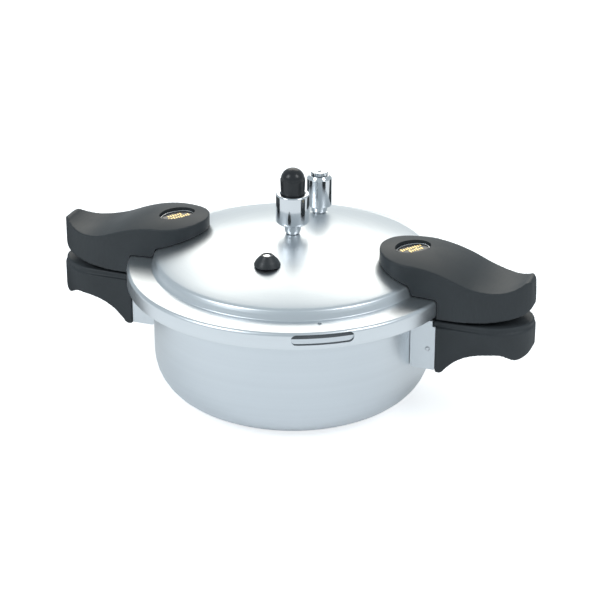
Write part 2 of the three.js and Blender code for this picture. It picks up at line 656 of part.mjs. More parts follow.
function upperHandleSide() {
  const side = new THREE.Shape();
  const tailX = UPPER_TAIL_X;
  const lowZ = UPPER_BOTTOM_Z;
  const topZ = lowZ + UPPER_GRIP_HEIGHT;
  side.moveTo(BADGE_X, lowZ);
  side.lineTo(SKIRT_OUTER_R + 20, lowZ);
  side.bezierCurveTo(tailX - 30, lowZ, tailX - 14, lowZ + 2, tailX - 6, lowZ + 5);
  side.quadraticCurveTo(tailX, lowZ + 8, tailX, lowZ + 16);
  side.lineTo(tailX - 1.5, topZ - 3);
  side.quadraticCurveTo(tailX - 2, topZ + 0.5, tailX - 6, topZ);
  side.bezierCurveTo(tailX - 18, topZ - 9.5, tailX - 34, topZ - 7, tailX - 52, topZ + 1.5);
  side.bezierCurveTo(tailX - 70, topZ + 10, BADGE_X + 16, UPPER_NOSE_Z - 0.2, BADGE_X + 1, UPPER_NOSE_Z);
  side.quadraticCurveTo(BADGE_X - 12, UPPER_NOSE_Z, UPPER_NOSE_X + 4, UPPER_NOSE_Z - 1.6);
  side.quadraticCurveTo(UPPER_NOSE_X + 2.5, UPPER_NOSE_Z - 2, UPPER_NOSE_X + 2, UPPER_NOSE_Z - 3.6);
  side.lineTo(UPPER_NOSE_X, domeZ(UPPER_NOSE_X) - 1);
  side.lineTo(BADGE_X - 6, domeZ(BADGE_X) - 1);
  return side;
}

// Lowers the top towards both sides: fully from the nose to the badge, and less and less to the tail.
function crowned(geometry) {
  const place = geometry.attributes.position;
  for (let i = 0; i < place.count; i++) {
    const share = THREE.MathUtils.clamp((UPPER_TAIL_X - place.getX(i)) / (UPPER_TAIL_X - BADGE_X), 0, 1);
    const side = place.getY(i) / HANDLE_HALF_WIDTH;
    if (place.getZ(i) > UPPER_BOTTOM_Z + UPPER_GRIP_HEIGHT / 2) {
      place.setZ(i, place.getZ(i) - UPPER_CROWN * share * side * side);
    }
  }
  return geometry;
}

function upperHandlePlan() {
  const noseBackX = UPPER_NOSE_X + HANDLE_HALF_WIDTH;
  const nose = ellipse(noseBackX, noseBackX - UPPER_NOSE_X, HANDLE_HALF_WIDTH);
  const grip = gripPlan(noseBackX, UPPER_TAIL_X, UPPER_TAIL_X - UPPER_TAPER, 0.42);
  return join(raised(nose, 0, KNOB_TOP_Z, 8), [raised(grip, 0, KNOB_TOP_Z)]);
}

function upperHandle() {
  const seatZ = STUD_TOP_Z + REST_GAP + SCREW_SEAT_THICK;
  const holes = [
    lidRoom(),
    rod(STUD_R + REST_GAP, 0, STUD_TOP_Z + REST_GAP).translate(BADGE_X, 0, 0),
    rod(SCREW_R + REST_GAP, 0, KNOB_TOP_Z).translate(BADGE_X, 0, 0),
    rod(SCREW_HEAD_R + REST_GAP, seatZ, KNOB_TOP_Z).translate(BADGE_X, 0, 0),
    raised(badgeOutline(REST_GAP), BADGE_FLOOR_Z, KNOB_TOP_Z),
  ];
  const slab = crowned(sideways(upperHandleSide(), HANDLE_HALF_WIDTH, CROWN_STEPS));
  return cut(overlapOf(slab, upperHandlePlan()), holes);
}

function lidStud() {
  const thread = rod(SCREW_R + REST_GAP, STUD_TOP_Z - STUD_THREAD_DEPTH, STUD_TOP_Z + 1);
  const post = rod(STUD_R, LID_CEILING_Z, STUD_TOP_Z).translate(BADGE_X, 0, 0);
  return cut(post, [lidRoom(), thread.translate(BADGE_X, 0, 0)]);
}

function handleScrew() {
  const headZ = STUD_TOP_Z + SCREW_SEAT_THICK + 2 * REST_GAP;
  const endZ = STUD_TOP_Z - STUD_THREAD_DEPTH + REST_GAP;
  return revolve([
    [0, endZ],
    [SCREW_R, endZ],
    [SCREW_R, headZ],
    [SCREW_HEAD_R, headZ],
    [SCREW_HEAD_R, SCREW_TOP_Z - 1],
    [SCREW_HEAD_R - 1, SCREW_TOP_Z],
    [0, SCREW_TOP_Z],
  ], SMALL_FACETS).translate(BADGE_X, 0, 0);
}

function badgeOutline(clearance) {
  return ellipse(BADGE_X, BADGE_LONG_R + clearance, BADGE_SHORT_R + clearance, BADGE_TURN_DEG);
}

function badge() {
  const lowZ = BADGE_FLOOR_Z + REST_GAP;
  return raised(badgeOutline(0), lowZ, lowZ + BADGE_THICK);
}

// ---------- fittings through the lid ----------

// Stem, neck and what stands above it, with a bore right through. The neck rests on the lid.
function throughStem(seatZ, undersideZ, neckTopZ, upper, boreR) {
  const endZ = undersideZ - REST_GAP - WASHER_THICK - REST_GAP - NUT_THICK - STEM_BELOW_NUT;
  const neckZ = seatZ + REST_GAP;
  return revolve([
    [boreR, endZ],
    [STEM_R, endZ],
    [STEM_R, neckZ],
    [NECK_FOOT_R, neckZ],
    [NECK_TOP_R, neckZ + 2],
    [NECK_TOP_R, neckTopZ],
    ...upper,
  ], SMALL_FACETS);
}

function lidWasher(undersideZ) {
  const highZ = undersideZ - REST_GAP;
  return tube(STEM_HOLE_R, WASHER_R, highZ - WASHER_THICK, highZ);
}

function lidNut(undersideZ) {
  const highZ = undersideZ - WASHER_THICK - 2 * REST_GAP;
  const hexagon = revolve([
    [0, highZ - NUT_THICK],
    [NUT_FLATS_R / Math.cos(Math.PI / 6), highZ - NUT_THICK],
    [NUT_FLATS_R / Math.cos(Math.PI / 6), highZ],
    [0, highZ],
  ], 6);
  return cut(hexagon, [rod(STEM_HOLE_R, 0, DOME_APEX_Z)]);
}

const VENT_UNDERSIDE_Z = domeZ(WASHER_R, DOME_R - LID_WALL);
const RELIEF_UNDERSIDE_Z = RELIEF_PAD_Z - PAD_THICK;

function ventPipe() {
  const upper = [
    [VENT_PIPE_R, VENT_NECK_TOP_Z],
    [VENT_PIPE_R, VENT_PIPE_TOP_Z - 1],
    [VENT_PIPE_R - 1, VENT_PIPE_TOP_Z],
    [VENT_BORE_R, VENT_PIPE_TOP_Z],
  ];
  return throughStem(DOME_APEX_Z, VENT_UNDERSIDE_Z, VENT_NECK_TOP_Z, upper, VENT_BORE_R);
}

// Slotted cup on the lower end of the vent pipe, which keeps food out of its bore.
function ventGuard() {
  const highZ = VENT_UNDERSIDE_Z - WASHER_THICK - NUT_THICK - 3 * REST_GAP;
  const lowZ = highZ - GUARD_HEIGHT;
  const roofZ = highZ - GUARD_WALL;
  const floorZ = lowZ + GUARD_WALL;
  const cup = revolve([
    [0, lowZ],
    [GUARD_R - 1, lowZ],
    [GUARD_R, lowZ + 1],
    [GUARD_R, highZ],
    [STEM_HOLE_R, highZ],
    [STEM_HOLE_R, roofZ],
    [GUARD_R - GUARD_WALL, roofZ],
    [GUARD_R - GUARD_WALL, floorZ],
    [0, floorZ],
  ], SMALL_FACETS);
  const slot = block(-2 * GUARD_R, 2 * GUARD_R, GUARD_SLOT / 2, floorZ, roofZ - GUARD_WALL);
  return cut(cup, [slot, slot.clone().rotateZ(Math.PI / 2)]);
}

// ---------- regulator ----------

function regulatorNeedle() {
  const ceilingZ = WEIGHT_CEILING_Z - REST_GAP;
  const boreClearR = VENT_BORE_R - REST_GAP;
  return revolve([
    [0, VENT_PIPE_TOP_Z - 4],
    [boreClearR - 0.5, VENT_PIPE_TOP_Z - 1.5],
    [boreClearR, VENT_PIPE_TOP_Z + REST_GAP],
    [NEEDLE_SEAT_R, VENT_PIPE_TOP_Z + REST_GAP + 1],
    [NEEDLE_SEAT_R, ceilingZ],
    [NEEDLE_SHANK_R, ceilingZ],
    [NEEDLE_SHANK_R, ceilingZ + NEEDLE_SHANK],
    [0, ceilingZ + NEEDLE_SHANK],
  ], SMALL_FACETS);
}

function regulatorWeight() {
  const shankR = NEEDLE_SHANK_R + REST_GAP;
  const recessR = KNOB_R + REST_GAP;
  const recessZ = WEIGHT_TOP_Z - WEIGHT_RECESS_DEPTH;
  return revolve([
    [WEIGHT_BORE_R, WEIGHT_BOTTOM_Z],
    ...arc(WEIGHT_R - WEIGHT_EDGE_R, WEIGHT_BOTTOM_Z + WEIGHT_EDGE_R, WEIGHT_EDGE_R, -90, 0, 3),
    [WEIGHT_R, WEIGHT_TOP_Z - 1.8],
    [WEIGHT_R - 0.6, WEIGHT_TOP_Z - 0.4],
    [WEIGHT_R - 1.8, WEIGHT_TOP_Z],
    [recessR + 0.4, WEIGHT_TOP_Z],
    [recessR, recessZ],
    [shankR, recessZ],
    [shankR, WEIGHT_CEILING_Z],
    [WEIGHT_BORE_R, WEIGHT_CEILING_Z],
  ], MEDIUM_FACETS);
}

function regulatorKnob() {
  const lowZ = WEIGHT_TOP_Z - WEIGHT_RECESS_DEPTH + REST_GAP;
  const lip = 0.5;
  const domeHeight = KNOB_TOP_Z - KNOB_SHOULDER_Z;
  const crown = arc(0, 0, 1, 0, 90, 5).map(([x, z]) => {
    return [x * (KNOB_R - lip), KNOB_SHOULDER_Z + z * domeHeight];
  });
  return revolve([[0, lowZ], [KNOB_R - lip, lowZ], [KNOB_R, KNOB_SHOULDER_Z - lip], ...crown.slice(0, -1),
    [0, KNOB_TOP_Z]], MEDIUM_FACETS);
}

// ---------- relief valve ----------

function reliefBase() {
  const upper = [
    [RELIEF_SPIGOT_R, RELIEF_NECK_TOP_Z],
    [RELIEF_SPIGOT_R, RELIEF_SEAT_Z],
    [RELIEF_BORE_R, RELIEF_SEAT_Z],
  ];
  return throughStem(RELIEF_PAD_Z, RELIEF_UNDERSIDE_Z, RELIEF_NECK_TOP_Z, upper, RELIEF_BORE_R);
}

function reliefHousing() {
  const topZ = RELIEF_HOUSING_TOP_Z;
  const lowZ = RELIEF_HOUSING_LOW_Z;
  const spigotR = RELIEF_SPIGOT_R + REST_GAP;
  const plugR = CAP_PLUG_R + REST_GAP;
  const wall = revolve([
    [spigotR, lowZ],
    [RELIEF_HOUSING_R - 1, lowZ],
    [RELIEF_HOUSING_R, lowZ + 1],
    [RELIEF_HOUSING_R, topZ - RELIEF_SHOULDER],
    [RELIEF_HOUSING_R - 0.7, topZ - RELIEF_SHOULDER / 3],
    [RELIEF_HOUSING_R - 2, topZ],
    [plugR, topZ],
    [plugR, RELIEF_CEILING_Z],
    [RELIEF_INNER_R, RELIEF_CEILING_Z],
    [RELIEF_INNER_R, lowZ + RELIEF_FLOOR],
    [spigotR, lowZ + RELIEF_FLOOR],
  ], MEDIUM_FACETS);
  const port = alongX(rod(RELIEF_PORT_R, -2 * RELIEF_HOUSING_R, 2 * RELIEF_HOUSING_R, RIVET_FACETS));
  return cut(wall, [port.translate(0, 0, RELIEF_PORT_Z)]);
}

function reliefPlunger() {
  const topZ = CAP_TOP_Z + PLUNGER_PROUD;
  return revolve([
    [0, PLUNGER_LOW_Z],
    [PLUNGER_R, PLUNGER_LOW_Z],
    [PLUNGER_R, PLUNGER_LOW_Z + PLUNGER_THICK],
    [PLUNGER_STEM_R, PLUNGER_LOW_Z + PLUNGER_THICK],
    [PLUNGER_STEM_R, topZ],
    [0, topZ],
  ], SMALL_FACETS);
}

function reliefSpring() {
  const lowZ = PLUNGER_LOW_Z + PLUNGER_THICK + REST_GAP + SPRING_WIRE_R;
  const highZ = RELIEF_CEILING_Z - REST_GAP - SPRING_WIRE_R;
  class Helix extends THREE.Curve {
    getPoint(t, target = new THREE.Vector3()) {
      const angle = 2 * Math.PI * SPRING_TURNS * t;
      return target.set(SPRING_R * Math.cos(angle), SPRING_R * Math.sin(angle), lowZ + (highZ - lowZ) * t);
    }
  }
  const wire = new THREE.Shape(arc(0, 0, SPRING_WIRE_R, 0, 300, 5).map(([x, y]) => new THREE.Vector2(x, y)));
  const options = { steps: 10 * SPRING_TURNS, extrudePath: new Helix(), bevelEnabled: false };
  return weld(new THREE.ExtrudeGeometry(wire, options));
}

function reliefCap() {
  const headZ = RELIEF_HOUSING_TOP_Z + REST_GAP;
  const stemR = PLUNGER_STEM_R + REST_GAP;
  const turned = revolve([
    [stemR, RELIEF_CEILING_Z],
    [CAP_PLUG_R, RELIEF_CEILING_Z],
    [CAP_PLUG_R, headZ],
    [CAP_R, headZ],
    [CAP_R, CAP_TOP_Z - 0.6],
    [CAP_R - 0.6, CAP_TOP_Z],
    [stemR, CAP_TOP_Z],
  ], MEDIUM_FACETS);
  const flutes = Array.from({ length: CAP_FLUTES }, (_, i) => {
    const flute = rod(CAP_FLUTE_R, headZ, CAP_TOP_Z + 1, RIVET_FACETS);
    return flute.translate(CAP_R + CAP_FLUTE_R / 2, 0, 0).rotateZ(i * 2 * Math.PI / CAP_FLUTES);
  });
  return cut(turned, flutes);
}

// ---------- safety plug ----------

function safetyPlug() {
  const headZ = PLUG_PAD_Z + REST_GAP;
  const lipZ = PLUG_PAD_Z - PAD_THICK - REST_GAP;
  const topZ = headZ + PLUG_HEAD;
  const boreR = PLUG_PIN_R + REST_GAP;
  return revolve([
    [boreR, lipZ - PLUG_LIP],
    [PLUG_LIP_R - 2, lipZ - PLUG_LIP],
    [PLUG_LIP_R, lipZ],
    [PLUG_NECK_R, lipZ],
    [PLUG_NECK_R, headZ],
    [PLUG_HEAD_R, headZ],
    [PLUG_HEAD_R, headZ + 1],
    [PLUG_HEAD_R - 1.6, headZ + 4],
    [PLUG_HEAD_R - 4.4, headZ + 6.6],
    [PLUG_PIN_HEAD_R + 0.8, topZ],
    [boreR, topZ],
  ], MEDIUM_FACETS);
}

function plugPin() {
  const endZ = PLUG_PAD_Z - PAD_THICK - REST_GAP - PLUG_LIP;
  const headZ = PLUG_PAD_Z + REST_GAP + PLUG_HEAD + REST_GAP;
  return revolve([
    [0, endZ],
    [PLUG_PIN_R, endZ],
    [PLUG_PIN_R, headZ],
    [PLUG_PIN_HEAD_R, headZ],
    [PLUG_PIN_HEAD_R - 0.8, headZ + PLUG_PIN_PROUD],
    [0, headZ + PLUG_PIN_PROUD],
  ], SMALL_FACETS);
}

// ---------- assembly ----------

add('pan_body', panBody(), satinAluminium);
add('sealing_ring', sealingRing(), greySilicone);
add('lid_shell', lidShell(), satinAluminium);

for (const side of ['right', 'left']) {
  const end = endGroup(side);
  add(`${side}_bracket`, bracket(), sheetAluminium, end);
  for (const [level, rise] of Object.entries(RIVET_RISES)) {
    add(`${side}_bracket_rivet_${level}`, panRivet(BRACKET_BOTTOM_Z + rise), sheetAluminium, end);
  }
  add(`${side}_lower_handle`, lowerHandle(), blackBakelite, end);
  add(`${side}_lower_handle_pin`, handlePin(), stainlessSteel, end);
  add(`${side}_upper_handle`, upperHandle(), blackBakelite, end);
  add(`${side}_lid_stud`, lidStud(), sheetAluminium, end);
  add(`${side}_upper_handle_screw`, handleScrew(), stainlessSteel, end);
  add(`${side}_badge`, badge(), printedPlate, end);
}

add('vent_pipe', ventPipe(), chromedBrass);
add('vent_washer', lidWasher(VENT_UNDERSIDE_Z), greySilicone);
add('vent_nut', lidNut(VENT_UNDERSIDE_Z), stainlessSteel);
add('vent_guard', ventGuard(), stainlessSteel);
add('regulator_needle', regulatorNeedle(), stainlessSteel);
add('regulator_weight', regulatorWeight(), chromedBrass);
add('regulator_knob', regulatorKnob(), blackPlastic);

const relief = standAt(RELIEF_Y);
add('relief_valve_base', reliefBase(), chromedBrass, relief);
add('relief_valve_washer', lidWasher(RELIEF_UNDERSIDE_Z), greySilicone, relief);
add('relief_valve_nut', lidNut(RELIEF_UNDERSIDE_Z), stainlessSteel, relief);
add('relief_valve_housing', reliefHousing(), chromedBrass, relief);
add('relief_valve_plunger', reliefPlunger(), stainlessSteel, relief);
add('relief_valve_spring', reliefSpring(), stainlessSteel, relief);
add('relief_valve_cap', reliefCap(), chromedBrass, relief);

const plug = standAt(PLUG_Y);
add('safety_plug', safetyPlug(), blackRubber, plug);
add('safety_plug_pin', plugPin(), stainlessSteel, plug);

export default cooker;
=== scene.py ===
import math
import bpy
from mathutils import Matrix, Vector


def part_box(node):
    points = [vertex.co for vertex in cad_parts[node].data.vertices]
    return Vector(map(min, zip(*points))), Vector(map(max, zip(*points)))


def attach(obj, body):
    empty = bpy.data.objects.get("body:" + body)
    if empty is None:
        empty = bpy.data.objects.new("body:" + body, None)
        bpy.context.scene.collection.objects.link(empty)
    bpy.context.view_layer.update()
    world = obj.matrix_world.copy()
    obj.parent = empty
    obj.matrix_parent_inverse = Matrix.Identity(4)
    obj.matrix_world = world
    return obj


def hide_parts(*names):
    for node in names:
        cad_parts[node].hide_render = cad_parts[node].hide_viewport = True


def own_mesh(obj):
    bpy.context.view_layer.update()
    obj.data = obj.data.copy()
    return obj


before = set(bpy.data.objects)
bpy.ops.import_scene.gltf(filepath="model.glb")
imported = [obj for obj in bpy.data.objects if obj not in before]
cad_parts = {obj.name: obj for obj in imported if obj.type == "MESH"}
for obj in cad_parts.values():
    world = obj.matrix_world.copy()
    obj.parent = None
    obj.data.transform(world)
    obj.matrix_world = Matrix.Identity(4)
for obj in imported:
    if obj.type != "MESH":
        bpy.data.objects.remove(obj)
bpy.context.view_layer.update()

bpy.ops.object.select_all(action='DESELECT')

# ---- Camera
# A long lens looks down on the cooker from the front and a little to the right, with the
# whole of both grips in view.
MM = 0.001
VIEW_AZIMUTH = math.radians(20.2)
VIEW_ELEVATION = math.radians(23.4)
VIEW_DISTANCE = 1.6236
LENS_LENGTH = 119.718
LENS_SHIFT = Vector((0.01208, -0.06203))
look_at = Vector((0, 0, 108 * MM))


def direction(azimuth, elevation):
    """The way from the cooker to something standing at this azimuth and elevation."""
    level = math.cos(elevation)
    return Vector((math.sin(azimuth) * level, -math.cos(azimuth) * level, math.sin(elevation)))


back = direction(VIEW_AZIMUTH, VIEW_ELEVATION)
bpy.ops.object.camera_add(location=look_at + back * VIEW_DISTANCE)
camera = bpy.context.object
camera.name = "camera"
camera.rotation_euler = back.to_track_quat('Z', 'Y').to_euler()
camera.data.lens = LENS_LENGTH
camera.data.shift_x = LENS_SHIFT.x
camera.data.shift_y = LENS_SHIFT.y
bpy.context.scene.camera = camera

# ---- Floor and light
# A pale studio floor, a pale cool room, a large soft box behind and above the cooker for the
# sheen on the dome, and two weaker ones in front.
FLOOR_SIZE = 9
FLOOR_GLOW = 0.16
FLOOR_GLOW_SEEN = 0.46
floor_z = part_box("pan_body")[0].z - 0.3 * MM
bpy.ops.mesh.primitive_plane_add(size=FLOOR_SIZE, location=(0, 0, floor_z))
floor = bpy.context.object
floor.name = "floor"
floor_paint = bpy.data.materials.new("floor_paint")
floor_paint.use_nodes = True
nodes = floor_paint.node_tree.nodes
links = floor_paint.node_tree.links
floor_shader = nodes["Principled BSDF"]
floor_shader.inputs["Base Color"].default_value = (0.82, 0.83, 0.84, 1)
floor_shader.inputs["Roughness"].default_value = 0.9
floor_shader.inputs["Specular IOR Level"].default_value = 0.1
floor_shader.inputs["Emission Color"].default_value = (1, 1, 1, 1)

# The floor is brighter where it is looked at than in reflections, and so is the room below.
light_path = nodes.new("ShaderNodeLightPath")
lift = nodes.new("ShaderNodeMath")
lift.operation = 'MULTIPLY_ADD'
lift.inputs[1].default_value = FLOOR_GLOW_SEEN
lift.inputs[2].default_value = FLOOR_GLOW
links.new(light_path.outputs["Is Camera Ray"], lift.inputs[0])
links.new(lift.outputs[0], floor_shader.inputs["Emission Strength"])
floor.data.materials.append(floor_paint)


def soft_box(name, azimuth, elevation, distance, width, height, watts, colour):
    """A rectangular soft light that faces the cooker."""
    way = direction(math.radians(azimuth), math.radians(elevation))
    bpy.ops.object.light_add(type='AREA', location=look_at + way * distance)
    lamp = bpy.context.object
    lamp.name = name
    lamp.rotation_euler = way.to_track_quat('Z', 'Y').to_euler()
    lamp.data.shape = 'RECTANGLE'
    lamp.data.size = width
    lamp.data.size_y = height
    lamp.data.energy = watts
    lamp.data.color = colour


soft_box("soft_box_back", 197, 36, 2.4, 1.7, 1.5, 17, (1.0, 0.95, 0.86))
soft_box("soft_box_left", -38, 40, 2.2, 0.9, 1.0, 14, (0.93, 0.97, 1.0))
soft_box("soft_box_right", 78, 44, 2.4, 0.8, 1.0, 12, (0.96, 0.98, 1.0))


def dark_strip(name, azimuth, near, far, width):
    """A dark strip on the floor, hidden from the camera, from shadows and from diffuse light: a painted
    dark reflection that only shows in polished metal.
    """
    way = direction(math.radians(azimuth), 0)
    middle = way * (near + far) / 2
    bpy.ops.mesh.primitive_plane_add(size=1, location=(middle.x, middle.y, floor_z + 0.5 * MM))
    strip = bpy.context.object
    strip.name = name
    strip.scale = (width, far - near, 1)
    strip.rotation_euler = (0, 0, math.radians(azimuth))
    strip.visible_camera = False
    strip.visible_shadow = False
    strip.visible_diffuse = False
    strip.data.materials.append(dark_reflection_card)


# Painted reflection: a dark sheet that only the metal sees, so the metal's reflections of the floor turn
# darker there.
dark_reflection_card = bpy.data.materials.new("dark_reflection_card")
dark_reflection_card.use_nodes = True
dark_reflection_card.node_tree.nodes["Principled BSDF"].inputs["Base Color"].default_value = (0.03, 0.035, 0.04, 1)
dark_reflection_card.node_tree.nodes["Principled BSDF"].inputs["Roughness"].default_value = 0.9
dark_strip("strip_left", -114, 0.20, 1.1, 0.36)
dark_strip("strip_right", 154, 0.20, 1.1, 0.36)

ROOM_SEEN = (1.06, 1.06, 1.06, 1)
ROOM_REFLECTED = (0.53, 0.605, 0.65, 1)
room = bpy.data.worlds.new("studio_room")
bpy.context.scene.world = room
room.use_nodes = True
room_light = room.node_tree.nodes["Background"]
room_light.inputs["Strength"].default_value = 0.95
room_path = room.node_tree.nodes.new("ShaderNodeLightPath")
room_colour = room.node_tree.nodes.new("ShaderNodeMix")
room_colour.data_type = 'RGBA'
room_colour.inputs["A"].default_value = ROOM_REFLECTED
room_colour.inputs["B"].default_value = ROOM_SEEN
room.node_tree.links.new(room_path.outputs["Is Camera Ray"], room_colour.inputs["Factor"])
room.node_tree.links.new(room_colour.outputs["Result"], room_light.inputs["Color"])
bpy.context.scene.view_settings.view_transform = 'Standard'

# ---- Pan
# Drawn aluminium with a flat base, a wide rounded corner and a rolled rim with six bayonet
# lugs. It is polished on a lathe, which leaves fine rings all over it.
ALUMINIUM = (0.70, 0.735, 0.765, 1)
LUG_COUNT = 6
LUG_SPAN = math.radians(24)


def drawn(name, points, closed, wire=0):
    """A line through the points, as a mesh of edges or, with a radius in millimetres, of wire."""
    bpy.ops.object.select_all(action='DESELECT')
    bpy.ops.curve.primitive_bezier_curve_add()
    piece = bpy.context.object
    piece.name = name
    piece.data.name = name
    piece.data.splines.clear()
    spline = piece.data.splines.new('POLY')
    spline.points.add(len(points) - 1)
    for knot, point in zip(spline.points, points):
        knot.co = (*point, 1)
    spline.use_cyclic_u = closed
    piece.data.bevel_depth = wire * MM
    piece.data.bevel_resolution = 3
    piece.data.use_fill_caps = wire > 0
    bpy.ops.object.convert(target='MESH')
    return piece


def rounded(corners):
    """Corners as (r, z) stay sharp, and those as (r, z, radius) become arcs."""
    line = []
    for i, (r, z, *radius) in enumerate(corners):
        corner = Vector((r, z))
        if not radius:
            line.append(corner)
            continue
        to_last = Vector(corners[i - 1][:2]) - corner
        to_next = Vector(corners[(i + 1) % len(corners)][:2]) - corner
        half = to_last.angle(to_next) / 2
        run = min(radius[0] / math.tan(half), to_last.length * 0.49, to_next.length * 0.49)
        to_last.normalize()
        to_next.normalize()
        middle = corner + (to_last + to_next).normalized() * (run / math.cos(half))
        start = corner + to_last * run - middle
        end = corner + to_next * run - middle
        turn = math.pi - 2 * half
        steps = max(3, math.ceil(turn / 0.16))
        for k in range(steps + 1):
            part = turn * k / steps
            line.append(middle + (start * math.sin(turn - part) + end * math.sin(part)) / math.sin(turn))
    return line


def tidy_mesh(piece, smooth_deg=32):
    """Closes seams and poles, turns the faces outwards and smooths all but the real edges."""
    bpy.ops.object.select_all(action='DESELECT')
    piece.select_set(True)
    bpy.context.view_layer.objects.active = piece
    bpy.ops.object.mode_set(mode='EDIT')
    bpy.ops.mesh.select_all(action='SELECT')
    bpy.ops.mesh.remove_doubles(threshold=0.001 * MM)
    bpy.ops.mesh.normals_make_consistent(inside=False)
    bpy.ops.object.mode_set(mode='OBJECT')
    bpy.ops.object.shade_smooth_by_angle(angle=math.radians(smooth_deg))
    return piece


def foot_of(node):
    """The middle of the bottom of a node's box."""
    low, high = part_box(node)
    return Vector(((low.x + high.x) / 2, (low.y + high.y) / 2, low.z))


def turned(name, corners, foot=(0, 0, 0), closed=False, sides=160):
    """Half a section in millimetres, up and out from its foot, spun about the upright axis there."""
    x, y, low = foot
    line = [(x + r * MM, y, low + z * MM) for r, z in rounded(corners)]
    piece = drawn(name, line, closed)
    bpy.ops.object.mode_set(mode='EDIT')
    bpy.ops.mesh.select_all(action='SELECT')
    bpy.ops.mesh.spin(steps=sides, angle=2 * math.pi, center=(x, y, 0), axis=(0, 0, 1))
    bpy.ops.object.mode_set(mode='OBJECT')
    return tidy_mesh(piece)


def shaped(piece, tool, operation='DIFFERENCE', smooth_deg=32):
    """Cuts the tool out of the piece, or joins them, and takes the tool away."""
    step = piece.modifiers.new(operation.lower(), 'BOOLEAN')
    step.operation = operation
    step.solver = 'EXACT'
    step.object = tool
    bpy.ops.object.select_all(action='DESELECT')
    piece.select_set(True)
    bpy.context.view_layer.objects.active = piece
    bpy.ops.object.modifier_apply(modifier=step.name)
    bpy.data.objects.remove(tool)
    return tidy_mesh(piece, smooth_deg)


def softened(piece, width, segments=3, limit_deg=35):
    """Rounds the real edges of a piece."""
    step = piece.modifiers.new("bevel", 'BEVEL')
    step.width = width * MM
    step.segments = segments
    step.limit_method = 'ANGLE'
    step.angle_limit = math.radians(limit_deg)
    bpy.ops.object.select_all(action='DESELECT')
    piece.select_set(True)
    bpy.context.view_layer.objects.active = piece
    bpy.ops.object.modifier_apply(modifier=step.name)
    return tidy_mesh(piece)


def bayonet_lugs(name, inner, outer, low, high):
    """Short lengths of a ring, spread evenly, the first across the X axis."""
    all_lugs = []
    for k in range(LUG_COUNT):
        start = 2 * math.pi * k / LUG_COUNT - LUG_SPAN / 2
        way = Vector((math.cos(start), math.sin(start), 0))
        line = [way * (r * MM) + Vector((0, 0, z * MM))
                for r, z in ((inner, low), (outer, low), (outer, high), (inner, high))]
        lug = drawn(f"{name}_{k}", line, True)
        bpy.ops.object.mode_set(mode='EDIT')
        bpy.ops.mesh.select_all(action='SELECT')
        bpy.ops.mesh.spin(steps=16, angle=LUG_SPAN, center=(0, 0, 0), axis=(0, 0, 1))
        bpy.ops.mesh.select_all(action='SELECT')
        bpy.ops.mesh.fill_holes(sides=4)
        bpy.ops.object.mode_set(mode='OBJECT')
        all_lugs.append(tidy_mesh(lug))
    bpy.ops.object.select_all(action='DESELECT')
    for lug in all_lugs:
        lug.select_set(True)
    bpy.context.view_layer.objects.active = all_lugs[0]
    bpy.ops.object.join()
    return all_lugs[0]


def group_of(name, inputs, outputs):
    """An empty shader node group with its sockets, and its two end nodes."""
    group = bpy.data.node_groups.new(name, 'ShaderNodeTree')
    for label, kind, value in inputs:
        socket = group.interface.new_socket(name=label, in_out='INPUT', socket_type=kind)
        if value is not None:
            socket.default_value = value
    for label, kind in outputs:
        group.interface.new_socket(name=label, in_out='OUTPUT', socket_type=kind)
    return group, group.nodes.new("NodeGroupInput"), group.nodes.new("NodeGroupOutput")


def worked_out(group, operation, first, second=None):
    """A Math node; an input is a socket or a number."""
    node = group.nodes.new("ShaderNodeMath")
    node.operation = operation
    for socket, value in zip(node.inputs, (first, second)):
        if isinstance(value, bpy.types.NodeSocket):
            group.links.new(value, socket)
        elif value is not None:
            socket.default_value = value
    return node.outputs[0]


# Rings left by turning: noise that depends on the distance from the axis and on the height.
turning, turning_in, turning_out = group_of(
    "turning_rings",
    [("Vector", 'NodeSocketVector', None), ("Rings", 'NodeSocketFloat', 1500.0)],
    [("Fine", 'NodeSocketFloat'), ("Broad", 'NodeSocketFloat')])
split = turning.nodes.new("ShaderNodeSeparateXYZ")
turning.links.new(turning_in.outputs["Vector"], split.inputs[0])
squares = [worked_out(turning, 'MULTIPLY', split.outputs[i], split.outputs[i]) for i in (0, 1)]
radius = worked_out(turning, 'SQRT', worked_out(turning, 'ADD', *squares))
ring_place = turning.nodes.new("ShaderNodeCombineXYZ")
turning.links.new(radius, ring_place.inputs[0])
turning.links.new(split.outputs[2], ring_place.inputs[1])
for label, share in (("Fine", 1.0), ("Broad", 0.12)):
    rings = turning.nodes.new("ShaderNodeTexNoise")
    rings.noise_dimensions = '2D'
    rings.inputs["Detail"].default_value = 3
    turning.links.new(ring_place.outputs[0], rings.inputs["Vector"])
    turning.links.new(worked_out(turning, 'MULTIPLY', turning_in.outputs["Rings"], share),
                      rings.inputs["Scale"])
    turning.links.new(rings.outputs["Fac"], turning_out.inputs[label])

# Handling: broad soft smudges and fine specks that change how dull the surface is.
handling, handling_in, handling_out = group_of(
    "handling_marks",
    [("Vector", 'NodeSocketVector', None), ("Size", 'NodeSocketFloat', 28.0)],
    [("Smudge", 'NodeSocketFloat'), ("Speck", 'NodeSocketFloat')])
for label, share, detail in (("Smudge", 1.0, 4), ("Speck", 40.0, 2)):
    marks = handling.nodes.new("ShaderNodeTexNoise")
    marks.inputs["Detail"].default_value = detail
    handling.links.new(handling_in.outputs["Vector"], marks.inputs["Vector"])
    handling.links.new(worked_out(handling, 'MULTIPLY', handling_in.outputs["Size"], share),
                       marks.inputs["Scale"])
    handling.links.new(marks.outputs["Fac"], handling_out.inputs[label])


def finish_of(name, colour, metallic):
    """A material with its shader and the piece's own coordinates."""
    material = bpy.data.materials.new(name)
    material.use_nodes = True
    tree = material.node_tree
    shader = tree.nodes["Principled BSDF"]
    shader.inputs["Base Color"].default_value = colour
    shader.inputs["Metallic"].default_value = metallic
    return material, tree, shader, tree.nodes.new("ShaderNodeTexCoord").outputs["Object"]


